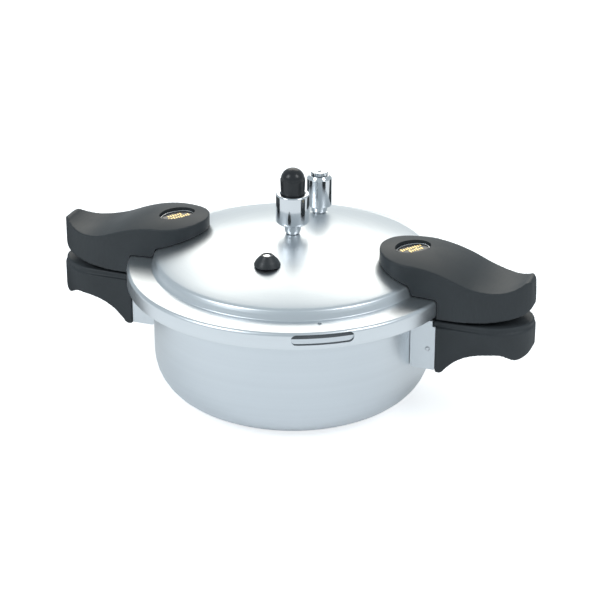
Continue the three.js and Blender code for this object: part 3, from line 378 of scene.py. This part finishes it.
def with_group(tree, group, vector, **values):
    """A node group placed in a material, with the material's own values."""
    node = tree.nodes.new("ShaderNodeGroup")
    node.node_tree = group
    tree.links.new(vector, node.inputs["Vector"])
    for label, value in values.items():
        node.inputs[label].default_value = value
    return node


def spread(tree, source, low, high, from_low=0.3, from_high=0.7):
    """Turns a noise value into a range of roughness."""
    node = tree.nodes.new("ShaderNodeMapRange")
    node.inputs["From Min"].default_value = from_low
    node.inputs["From Max"].default_value = from_high
    node.inputs["To Min"].default_value = low
    node.inputs["To Max"].default_value = high
    tree.links.new(source, node.inputs["Value"])
    return node.outputs[0]


def tinted(tree, shader, source, dark, light):
    """Colour between two shades, following a noise value."""
    node = tree.nodes.new("ShaderNodeMix")
    node.data_type = 'RGBA'
    node.inputs["A"].default_value = dark
    node.inputs["B"].default_value = light
    tree.links.new(spread(tree, source, 0, 1), node.inputs["Factor"])
    tree.links.new(node.outputs["Result"], shader.inputs["Base Color"])


def bumped(tree, shader, source, height, strength):
    """Fine relief that follows a noise value; the height is in millimetres."""
    node = tree.nodes.new("ShaderNodeBump")
    node.inputs["Strength"].default_value = strength
    node.inputs["Distance"].default_value = height * MM
    tree.links.new(source, node.inputs["Height"])
    tree.links.new(node.outputs["Normal"], shader.inputs["Normal"])


def turned_metal(name, colour, rough_low, rough_high, rings, depth, shade=0.975):
    """Metal finished on a lathe."""
    material, tree, shader, place = finish_of(name, colour, 1.0)
    ring_marks = with_group(tree, turning, place, Rings=rings)
    smudges = with_group(tree, handling, place)
    both = worked_out(tree, 'MULTIPLY', ring_marks.outputs["Fine"], 0.6)
    both = worked_out(tree, 'ADD', both, worked_out(tree, 'MULTIPLY', smudges.outputs["Smudge"], 0.4))
    tree.links.new(spread(tree, both, rough_low, rough_high), shader.inputs["Roughness"])
    dark = (colour[0] * shade, colour[1] * shade, colour[2] * shade, 1)
    tinted(tree, shader, ring_marks.outputs["Broad"], dark, colour)
    bumped(tree, shader, ring_marks.outputs["Fine"], depth, 0.05)
    return material


def fitted(piece, node, body, material):
    """The piece takes the place of its node, rides on its body and has its finish."""
    piece.data.materials.clear()
    piece.data.materials.append(material)
    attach(piece, body)
    if node:
        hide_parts(node)
    return piece


pan_satin = turned_metal("pan_satin", ALUMINIUM, 0.35, 0.39, 1500.0, 0.01)
pan = turned("pan_drawn", [
    (0, 0), (114, 0, 36), (114, 98.0, 1.2), (120, 98.0, 1.3),
    (120, 101.3, 1.4), (111, 101.3, 1.0), (111, 4, 33), (0, 4)], foot_of("pan_body"), sides=192)
pan = shaped(pan, softened(bayonet_lugs("pan_lug", 116.0, 130.6, 98.2, 101.1), 0.5, 2), 'UNION')
fitted(pan, "pan_body", "pan", pan_satin)

# ---- Sealing ring
# A moulded silicone ring with a pressure slot between two lips. It lies in the rim of the
# lid, above the lid's lugs, and seals on the rim of the pan.
silicone, tree, shader, place = finish_of("silicone", (0.09, 0.10, 0.11, 1), 0.0)
dust = with_group(tree, handling, place, Size=60.0)
tree.links.new(spread(tree, dust.outputs["Smudge"], 0.45, 0.62), shader.inputs["Roughness"])
tinted(tree, shader, dust.outputs["Speck"], (0.075, 0.083, 0.09, 1), (0.11, 0.12, 0.13, 1))
bumped(tree, shader, dust.outputs["Speck"], 0.03, 0.3)
seal = turned("seal_moulded", [
    (113, 0, 0.3), (131.2, 0, 0.6), (131.2, 3.1, 0.6), (113, 3.1, 0.3),
    (113.6, 2.15, 0.1), (120, 2.15, 0.4), (120, 0.95, 0.4), (113.6, 0.95, 0.1)],
    foot_of("sealing_ring"), closed=True)
fitted(seal, "sealing_ring", "seal", silicone)

# ---- Lid
# One pressing of aluminium: a dome, a rounded shoulder, a flat flange and a skirt with six
# lugs inside and a long window, through which the ring can vent.
LID_WALL = 3.0
DOME_R = 368.0
DOME_APEX = 134.0
HOLE_R = 5.3
PLUG_HOLE_R = 4.9
MARK_FROM_AXIS = 119.7
WINDOW_AZIMUTH = math.radians(-60)
WINDOW_HALF = 20.3
WINDOW_END_R = 4.2
WINDOW_Z = 102.3
relief_y = foot_of("relief_valve_housing").y
plug_y = foot_of("safety_plug").y
window_out = Vector((math.cos(WINDOW_AZIMUTH), math.sin(WINDOW_AZIMUTH), 0))
window_along = Vector((-window_out.y, window_out.x, 0))


def dome_z(r, radius=DOME_R):
    """The height of the dome at a distance from the axis, for its top or its underside."""
    return DOME_APEX - DOME_R + math.sqrt(radius * radius - r * r)


def dome_arc(outer_r, steps, radius):
    """The dome's section from its middle hole outwards."""
    places = [HOLE_R + (outer_r - HOLE_R) * k / steps for k in range(steps + 1)]
    return [(r, dome_z(r, radius)) for r in places]


lid_satin = turned_metal("lid_satin", (0.73, 0.76, 0.785, 1), 0.32, 0.36, 1700.0, 0.01)
lid = turned("lid_pressing", [
    *dome_arc(107.6, 26, DOME_R), (109.7, 117.2, 4), (111.8, 116.0, 2.6), (113.1, 113.2, 4),
    (114.5, 108.8, 1.1), (134.8, 107.95, 3.0), (134.8, 94.2, 0.6), (131.8, 94.2, 0.6), (131.8, 105, 1.0),
    (112.5, 105, 0.8), (111.2, 107.6, 1.5), *reversed(dome_arc(107.0, 20, DOME_R - LID_WALL))],
    closed=True, sides=256)
lid = shaped(lid, softened(bayonet_lugs("lid_lug", 121.2, 133.3, 94.4, 97.6), 0.5, 2), 'UNION')
seat_foot = (0, relief_y, dome_z(relief_y / MM) * MM)
lid = shaped(lid, turned("above_seat", [(0, 0), (7.1, 0), (7.1, 9), (0, 9)], seat_foot, sides=64))
seat = turned("seat", [(0, -3), (6.9, -3), (6.9, 0), (0, 0)], seat_foot, sides=64)
lid = shaped(lid, seat, 'UNION')
punch_line = [(0, 105.6), (1.5, 106.2), (1.5, 112), (0, 112)]
lid = shaped(lid, turned("punch", punch_line, window_out * MARK_FROM_AXIS * MM, sides=24))
for y, r in ((relief_y, HOLE_R), (plug_y, PLUG_HOLE_R)):
    lid = shaped(lid, turned("hole", [(0, 100), (r, 100), (r, 140), (0, 140)], (0, y, 0), sides=48))


def slab(name, outline, pull, cuts=1):
    """A closed outline filled and pulled out, in as many steps as it has cuts."""
    piece = drawn(name, outline, True)
    bpy.ops.object.mode_set(mode='EDIT')
    bpy.ops.mesh.select_all(action='SELECT')
    bpy.ops.mesh.edge_face_add()
    for k in range(cuts):
        bpy.ops.mesh.extrude_region_move(TRANSFORM_OT_translate={"value": Vector(pull) / cuts})
    bpy.ops.object.mode_set(mode='OBJECT')
    return tidy_mesh(piece)


window_line = []
for end in (1, -1):
    for k in range(13):
        swing = math.radians(-90 + 15 * k)
        along = end * (WINDOW_HALF + WINDOW_END_R * math.cos(swing))
        rise = WINDOW_Z + end * WINDOW_END_R * math.sin(swing)
        window_line.append(window_out * 121 * MM + window_along * along * MM + Vector((0, 0, rise * MM)))
lid = shaped(lid, slab("window_tool", window_line, window_out * 20 * MM))
fitted(lid, "lid_shell", "lid", lid_satin)

# ---- Brackets
# Aluminium sheet bent to a channel, closed against the pan's wall by two rivets and open
# outwards, where the handle's tongue goes in.
BRACKET_HALF = 30.6
CHANNEL_HALF = 28.6
sheet_metal, tree, shader, place = finish_of("sheet_metal", (0.74, 0.77, 0.79, 1), 1.0)
rolled = with_group(tree, handling, place, Size=40.0)
tree.links.new(spread(tree, rolled.outputs["Smudge"], 0.42, 0.56), shader.inputs["Roughness"])
tinted(tree, shader, rolled.outputs["Smudge"], (0.70, 0.73, 0.755, 1), (0.76, 0.79, 0.81, 1))
bumped(tree, shader, rolled.outputs["Speck"], 0.02, 0.25)


def opposite(piece, name):
    """The same piece for the other side of the cooker, with its own mesh."""
    other = piece.copy()
    other.data = piece.data.copy()
    other.name = name
    other.data.name = name
    bpy.context.scene.collection.objects.link(other)
    other.data.transform(Matrix.Rotation(math.pi, 4, 'Z'))
    return other


def dressed(material, *node_names):
    """A node whose shape is right keeps it and gets a finish."""
    for node_name in node_names:
        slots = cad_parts[node_name].data.materials
        slots.clear()
        slots.append(material)


def side_view(points, y):
    """Points along and up, set at one place across."""
    return [(x * MM, y * MM, z * MM) for x, z in points]


bracket_low, bracket_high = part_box("right_bracket")
low_z, high_z = bracket_low.z / MM, bracket_high.z / MM
bracket_side = rounded([
    (109.9, low_z, 4), (130.5, low_z, 0.8), (130.5, 84.7), (128.0, 84.7), (128.0, high_z),
    (109.9, high_z)])
bracket = slab("right_bracket_sheet", side_view(bracket_side, -BRACKET_HALF),
               (0, 2 * BRACKET_HALF * MM, 0))
channel_side = [(116.3, 40), (140, 40), (140, 95), (116.3, 95)]
bracket = shaped(bracket, slab("channel", side_view(channel_side, -CHANNEL_HALF),
                               (0, 2 * CHANNEL_HALF * MM, 0)))
bracket = shaped(bracket, turned("pan_room", [(0, 30), (114.3, 30), (114.3, 99), (0, 99)], sides=192))
bracket = softened(bracket, 0.35, 2, 50)
fitted(bracket, "right_bracket", "pan", sheet_metal)
fitted(opposite(bracket, "left_bracket_sheet"), "left_bracket", "pan", sheet_metal)
dressed(sheet_metal, *(f"{side}_{name}" for side in ("right", "left")
                       for name in ("bracket_rivet_lower", "bracket_rivet_upper", "lid_stud")))

# ---- Turned steel
# The handles' pins and screws, the nuts, the guard, the needle and the plunger are turned
# stainless steel and mostly out of sight. The washers are cut from the ring's silicone.
turned_steel = turned_metal("turned_steel", (0.62, 0.64, 0.66, 1), 0.22, 0.36, 4200.0, 0.01)
dressed(turned_steel, "right_lower_handle_pin", "left_lower_handle_pin", "right_upper_handle_screw",
        "left_upper_handle_screw", "vent_nut", "vent_guard", "regulator_needle", "relief_valve_nut",
        "relief_valve_plunger")
dressed(silicone, "vent_washer", "relief_valve_washer")

# ---- Lower handles
# Moulded bakelite with a step along the top edge, narrowing to a rounded tail. A pin through
# the bracket holds each by its tongue.
GRIP_HALF = 32
TONGUE_HALF = 28.3
bakelite, tree, shader, place = finish_of("bakelite", (0.033, 0.037, 0.041, 1), 0.0)
skin = with_group(tree, handling, place, Size=34.0)
tree.links.new(spread(tree, skin.outputs["Smudge"], 0.44, 0.54), shader.inputs["Roughness"])
tinted(tree, shader, skin.outputs["Smudge"], (0.026, 0.030, 0.033, 1), (0.034, 0.039, 0.043, 1))
bumped(tree, shader, skin.outputs["Speck"], 0.03, 0.22)
shader.inputs["Specular IOR Level"].default_value = 0.32


def flowing(start, *strokes):
    """An outline; a stroke is its end, with one or two pulls before it where it bends."""
    line = [Vector(start)]
    for stroke in strokes:
        anchors = [line[-1], *(Vector(point) for point in stroke)]
        steps = 1 if len(anchors) == 2 else 14
        for k in range(1, steps + 1):
            level = anchors
            while len(level) > 1:
                level = [a.lerp(b, k / steps) for a, b in zip(level, level[1:])]
            line.append(level[0])
    return line


def grip_plan(name, start, tail, full, waist, half, low, high):
    """Straight sides that narrow to a round tail, as a tall slab."""
    waist_x = full + waist * (tail - full)
    plan = flowing((start, -half), [(full, -half)], [(waist_x, -half), (tail, -half / 2), (tail, 0)],
                   [(tail, half / 2), (waist_x, half), (full, half)], [(start, half)])
    return slab(name, [(x * MM, y * MM, low * MM) for x, y in plan], (0, 0, (high - low) * MM))


def moulded(piece, voxel, passes):
    """Runs the edges of a piece together, as a moulding's are."""
    bpy.ops.object.select_all(action='DESELECT')
    piece.select_set(True)
    bpy.context.view_layer.objects.active = piece
    remesh = piece.modifiers.new("remesh", 'REMESH')
    remesh.mode = 'VOXEL'
    remesh.voxel_size = voxel * MM
    smooth = piece.modifiers.new("smooth", 'SMOOTH')
    smooth.factor = 0.5
    smooth.iterations = passes
    bpy.ops.object.modifier_apply(modifier="remesh")
    bpy.ops.object.modifier_apply(modifier="smooth")
    return tidy_mesh(piece, 60)


lower_line = flowing(
    (130.8, 46.7), [(134.8, 44.2), (137.8, 48.2)], [(147.8, 61.2), (160.8, 66.8), (177.8, 67.2)],
    [(186.8, 67.2), (188.8, 61.2), (194, 61.2)], [(203, 62.2), (203, 72.2)], [(203, 85)], [(130.8, 85)])
lower = slab("right_lower_grip", side_view(lower_line, -GRIP_HALF), (0, 2 * GRIP_HALF * MM, 0))
lower = shaped(lower, grip_plan("plan", 129.8, 203, 166, 0.5, GRIP_HALF, 30, 100), 'INTERSECT')
lower = shaped(lower, grip_plan("step", 128.3, 202, 166, 0.5, 29.5, 84.5, 89.5), 'UNION')
lower = moulded(lower, 0.8, 7)
tongue_side = [(118.5, 49.4), (134.8, 49.4), (134.8, 87.5), (118.5, 87.5)]
tongue = slab("tongue", side_view(tongue_side, -TONGUE_HALF), (0, 2 * TONGUE_HALF * MM, 0))
lower = shaped(lower, tongue, 'UNION', 50)
fitted(lower, "right_lower_handle", "pan", bakelite)
fitted(opposite(lower, "left_lower_grip"), "left_lower_handle", "pan", bakelite)

# ---- Upper handles
# Moulded bakelite that reaches from the dome over the flange to the tail, crowned across its
# top, with a thumb hollow and an oval recess. A screw in the recess, hidden under the badge,
# holds each to a stud on the dome.
NOSE_X = 107.2
TAIL_X = 202.5
CROWN_FOOT = 112
CROWN_FALL = 4.8
BADGE_TURN = math.radians(55)
BADGE_HALF_LENGTH = 15.6
BADGE_HALF_WIDTH = 10.9
badge_x = foot_of("right_badge").x
upper_line = flowing(
    (101.5, 92.3), [(154.8, 92.3)], [(172.5, 92.3), (188.5, 94.3), (196.5, 97.3)],
    [(202.5, 100.3), (202.5, 108.3)], [(201, 121.3)], [(200.5, 124.8), (196.5, 124.3)],
    [(184.5, 114.8), (168.5, 117.3), (150.5, 125.8)], [(132.5, 134.3), (117.5, 138.2), (102.5, 138.4)],
    [(89.5, 138.4), (79.2, 137.2)], [(74.8, 136.5)], [(74.8, 116.0)], [(95.5, 110.0)])
upper = slab("right_upper_grip", side_view(upper_line, -GRIP_HALF), (0, 2 * GRIP_HALF * MM, 0), 32)
for vertex in upper.data.vertices:
    x, y, z = vertex.co / MM
    if z > CROWN_FOOT:
        share = min(1, max(0, (TAIL_X - x) / 101)) * min(1, (z - CROWN_FOOT) / 10)
        vertex.co.z -= CROWN_FALL * share * (y / GRIP_HALF) ** 2 * MM
upper_plan = grip_plan("plan", NOSE_X, TAIL_X, 145, 0.42, GRIP_HALF, 60, 150)
nose_line = [(0, 60), (GRIP_HALF, 60), (GRIP_HALF, 150), (0, 150)]
nose = turned("nose", nose_line, (NOSE_X * MM, 0, 0), sides=128)
upper_plan = shaped(upper_plan, nose, 'UNION')
upper = moulded(shaped(upper, upper_plan, 'INTERSECT'), 0.65, 5)


def above_dome(gap, step):
    """The dome's section from its edge to the axis, raised by a gap."""
    return [*((r, dome_z(r) + gap) for r in range(108, 0, -step)), (0, DOME_APEX + gap)]


lid_room = turned("lid_room", [
    (0, 60), (135.3, 60), (135.3, 108.4, 3), (115.0, 109.4, 1.6), (112.2, 117.2, 2.6),
    *above_dome(0.5, 12)], sides=256)
upper = shaped(upper, lid_room, smooth_deg=50)


def on_badge(along, across, z):
    """A place given along and across the badge, whose long axis is turned against the grip."""
    return (badge_x + (along * math.cos(BADGE_TURN) - across * math.sin(BADGE_TURN)) * MM,
            (along * math.sin(BADGE_TURN) + across * math.cos(BADGE_TURN)) * MM, z * MM)


def badge_oval(name, grow, low, high):
    """The badge's outline as a slab."""
    line = []
    for k in range(72):
        swing = 2 * math.pi * k / 72
        line.append(on_badge((BADGE_HALF_LENGTH + grow) * math.cos(swing),
                             (BADGE_HALF_WIDTH + grow) * math.sin(swing), low))
    return slab(name, line, (0, 0, (high - low) * MM))


upper = shaped(upper, badge_oval("recess", 0.3, 133.4, 150), smooth_deg=50)
fitted(upper, "right_upper_handle", "lid", bakelite)
fitted(opposite(upper, "left_upper_grip"), "left_upper_handle", "lid", bakelite)

# ---- Badges
# An oval plate of glossy black plastic with a raised bright border and a plain ornament of
# slanting gold strokes. It is glued into the recess and covers the screw.
BADGE_PRINT_Z = 134.85
badge_black, tree, shader, place = finish_of("badge_black", (0.012, 0.012, 0.014, 1), 0.0)
film = with_group(tree, handling, place, Size=90.0)
tree.links.new(spread(tree, film.outputs["Smudge"], 0.16, 0.3), shader.inputs["Roughness"])
tinted(tree, shader, film.outputs["Smudge"], (0.010, 0.010, 0.012, 1), (0.018, 0.018, 0.020, 1))
badge_silver = turned_metal("badge_silver", (0.78, 0.79, 0.80, 1), 0.16, 0.28, 900.0, 0.005)
badge_gold = turned_metal("badge_gold", (0.86, 0.66, 0.30, 1), 0.22, 0.36, 900.0, 0.005)
badge = softened(badge_oval("right_badge_plate", 0, 133.7, 134.9), 0.3, 3)
fitted(badge, "right_badge", "lid", badge_black)
fitted(opposite(badge, "left_badge_plate"), "left_badge", "lid", badge_black)
border = shaped(badge_oval("right_badge_border", -0.5, 134.6, 135.25), badge_oval("inside", -1.5, 134, 136))
border = softened(border, 0.2, 2)
fitted(border, None, "lid", badge_silver)
fitted(opposite(border, "left_badge_border"), None, "lid", badge_silver)
strokes = []
for row, across, first, count in (("upper", 2.6, -9.2, 9), ("lower", -2.2, -4.4, 6)):
    for k in range(count):
        middle = first + 2.3 * k
        height = 1.5 if k % 3 else 2.1
        line = []
        for a, b in ((-0.9, -height), (0.5, -height), (0.9, height), (-0.5, height)):
            line.append(on_badge(middle + a, across + b, BADGE_PRINT_Z))
        strokes.append(slab(f"stroke_{row}_{k}", line, (0, 0, 0.2 * MM)))
bpy.ops.object.select_all(action='DESELECT')
for stroke in strokes:
    stroke.select_set(True)
bpy.context.view_layer.objects.active = strokes[0]
bpy.ops.object.join()
ornament = strokes[0]
ornament.name = "right_badge_ornament"
fitted(ornament, None, "lid", badge_gold)
fitted(opposite(ornament, "left_badge_ornament"), None, "lid", badge_gold)

# ---- Vent pipe
# A chromed brass pipe through the middle of the lid, with a neck that stands on the dome. The
# weight sits on the end of the pipe.
chrome = turned_metal("chrome", (0.70, 0.72, 0.74, 1), 0.05, 0.11, 3200.0, 0.004, 0.98)
vent = turned("vent_pipe_turned", [
    (1.75, 0), (5, 0, 0.3), (5, 10.3), (5.1, 10.3), (5.9, 11.2, 1.2), (6.65, 13.4, 2.0), (6.65, 19.0, 0.5),
    (4.2, 19.0), (4.2, 31.0, 0.8), (1.75, 31.0, 0.3)], foot_of("vent_pipe"), closed=True, sides=64)
fitted(vent, "vent_pipe", "lid", chrome)

# ---- Regulator weight and knob
# A heavy chromed weight, bored to fit over the pipe, and lifted off it by hand. A moulded
# black knob is pressed into its top.
weight = turned("weight_turned", [
    (5.0, 0), (13.6, 0, 3), (13.6, 25.7, 1.3), (10.4, 25.7, 0.3), (10.4, 23.1),
    (2.3, 23.1), (2.3, 14.7), (5.0, 14.7)], foot_of("regulator_weight"), closed=True, sides=128)
fitted(weight, "regulator_weight", "regulator", chrome)
knob_black, tree, shader, place = finish_of("knob_black", (0.014, 0.015, 0.017, 1), 0.0)
shader.inputs["Specular IOR Level"].default_value = 0.45
moulding = with_group(tree, handling, place, Size=70.0)
tree.links.new(spread(tree, moulding.outputs["Smudge"], 0.26, 0.34), shader.inputs["Roughness"])
tinted(tree, shader, moulding.outputs["Smudge"], (0.012, 0.013, 0.015, 1), (0.018, 0.020, 0.022, 1))
KNOB_SHOULDER = 14.7
KNOB_CROWN = 8.8
KNOB_R = 9.6
crown = [(KNOB_R * math.cos(math.radians(a)), KNOB_SHOULDER + KNOB_CROWN * math.sin(math.radians(a)))
         for a in range(0, 90, 6)]
knob = turned("knob_moulded", [
    (0, 0), (KNOB_R, 0, 0.3), (9.75, 5.3), (10.1, 13.7, 0.35), (10.1, 14.5, 0.3),
    *crown, (0, KNOB_SHOULDER + KNOB_CROWN)], foot_of("regulator_knob"), sides=96)
fitted(knob, "regulator_knob", "regulator", knob_black)

# ---- Relief valve
# A chromed housing on its own neck, with a side port and a fluted cap screwed into the top.
# A wound spring inside holds the plunger down and shortens when the plunger lifts.
base = turned("relief_base_turned", [
    (2.5, 0), (5, 0, 0.3), (5, 11.4), (5.6, 11.4), (6.65, 12.91, 1.4), (6.65, 17.4, 0.5),
    (5.5, 17.4), (5.5, 23.7, 0.3), (2.5, 23.7)], foot_of("relief_valve_base"), closed=True, sides=64)
fitted(base, "relief_valve_base", "lid", chrome)
housing = turned("relief_housing_turned", [
    (5.8, 0), (10.4, 0, 0.9), (10.4, 24.41, 0.5), (9.5, 25.21, 0.4), (8.3, 27, 0.4),
    (5.9, 27), (5.9, 22.8), (7.6, 22.8), (7.6, 3), (5.8, 3)],
    foot_of("relief_valve_housing"), closed=True, sides=96)
PORT_R = 1.5
port_place = foot_of("relief_valve_housing") + Vector((0, 0, 12.5 * MM))
bpy.ops.object.select_all(action='DESELECT')
bpy.ops.mesh.primitive_cylinder_add(vertices=32, radius=PORT_R * MM, depth=30 * MM,
                                    location=port_place, rotation=(0, math.pi / 2, 0))
port = bpy.context.object
bpy.ops.object.transform_apply(location=True, rotation=True, scale=True)
housing = shaped(housing, port)
fitted(housing, "relief_valve_housing", "lid", chrome)
cap = turned("relief_cap_turned", [
    (1.8, 0), (5.6, 0), (5.6, 4.5), (7.25, 4.5, 0.3), (7.25, 7.4, 0.6),
    (1.8, 7.4, 0.2)], foot_of("relief_valve_cap"), closed=True, sides=96)
CAP_FLUTES = 8
FLUTE_FROM_AXIS = 8.1 * MM
for k in range(CAP_FLUTES):
    swing = 2 * math.pi * k / CAP_FLUTES
    flute_way = Vector((math.cos(swing), math.sin(swing), 0))
    flute_foot = foot_of("relief_valve_cap") + flute_way * FLUTE_FROM_AXIS
    cap = shaped(cap, turned("flute", [(0, 4.2), (1.7, 4.2), (1.7, 8.2), (0, 8.2)], flute_foot, sides=24))
fitted(cap, "relief_valve_cap", "lid", chrome)

spring_low, spring_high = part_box("relief_valve_spring")
SPRING_WIRE = 0.55
SPRING_TURNS = 5
TURN_STEPS = 32
coil_r = (spring_high.x - spring_low.x) / 2 - SPRING_WIRE * MM
rise = spring_high.z - spring_low.z - 2 * SPRING_WIRE * MM
coil = []
for k in range(SPRING_TURNS * TURN_STEPS + 1):
    swing = 2 * math.pi * k / TURN_STEPS
    share = k / (SPRING_TURNS * TURN_STEPS)
    coil.append((coil_r * math.cos(swing), relief_y + coil_r * math.sin(swing),
                 spring_low.z + SPRING_WIRE * MM + rise * share))
spring = tidy_mesh(drawn("relief_spring_wound", coil, False, SPRING_WIRE))
fitted(spring, "relief_valve_spring", "lid", turned_steel)
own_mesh(spring)

# ---- Safety plug
# A rubber button with a metal pin in it, pressed into a hole of the dome, with a lip below
# that keeps it there.
rubber, tree, shader, place = finish_of("plug_rubber", (0.02, 0.022, 0.024, 1), 0.0)
bloom = with_group(tree, handling, place, Size=80.0)
tree.links.new(spread(tree, bloom.outputs["Smudge"], 0.3, 0.45), shader.inputs["Roughness"])
tinted(tree, shader, bloom.outputs["Smudge"], (0.016, 0.018, 0.020, 1), (0.026, 0.028, 0.031, 1))
bumped(tree, shader, bloom.outputs["Speck"], 0.02, 0.2)
plug = turned("plug_moulded", [
    (2.9, 9.1), (10.5, 9.1, 0.9), (10.5, 10.4, 0.9), (8.9, 13.4, 3.0), (6.0, 16.3, 3.0), (4.7, 17.8, 0.8),
    (3.4, 17.8, 0.3), (3.4, 16.7), (2.9, 16.7)], foot_of("safety_plug"), closed=True, sides=96)
dome_room = turned("dome_room", [
    (0, 60), (108, 60), *above_dome(0.1, 4)], sides=256)
plug = shaped(plug, dome_room)
plug = shaped(plug, turned("plug_neck", [
    (2.9, 0), (4.8, 0, 0.6), (6.8, 4.4, 0.5), (4.6, 4.4, 0.3), (4.6, 11.5), (2.9, 11.5)],
    foot_of("safety_plug"), closed=True, sides=96), 'UNION')
fitted(plug, "safety_plug", "lid", rubber)
pin_shine = turned_metal("pin_shine", (0.80, 0.81, 0.82, 1), 0.12, 0.2, 4000.0, 0.004)
pin = turned("plug_pin_turned", [
    (0, 0), (2.6, 0, 0.3), (2.6, 16.8), (3.2, 16.8, 0.1), (3.2, 17.3, 0.3), (1.6, 17.5, 0.6),
    (0, 17.5)], foot_of("safety_plug_pin"), sides=64)
fitted(pin, "safety_plug_pin", "lid", pin_shine)
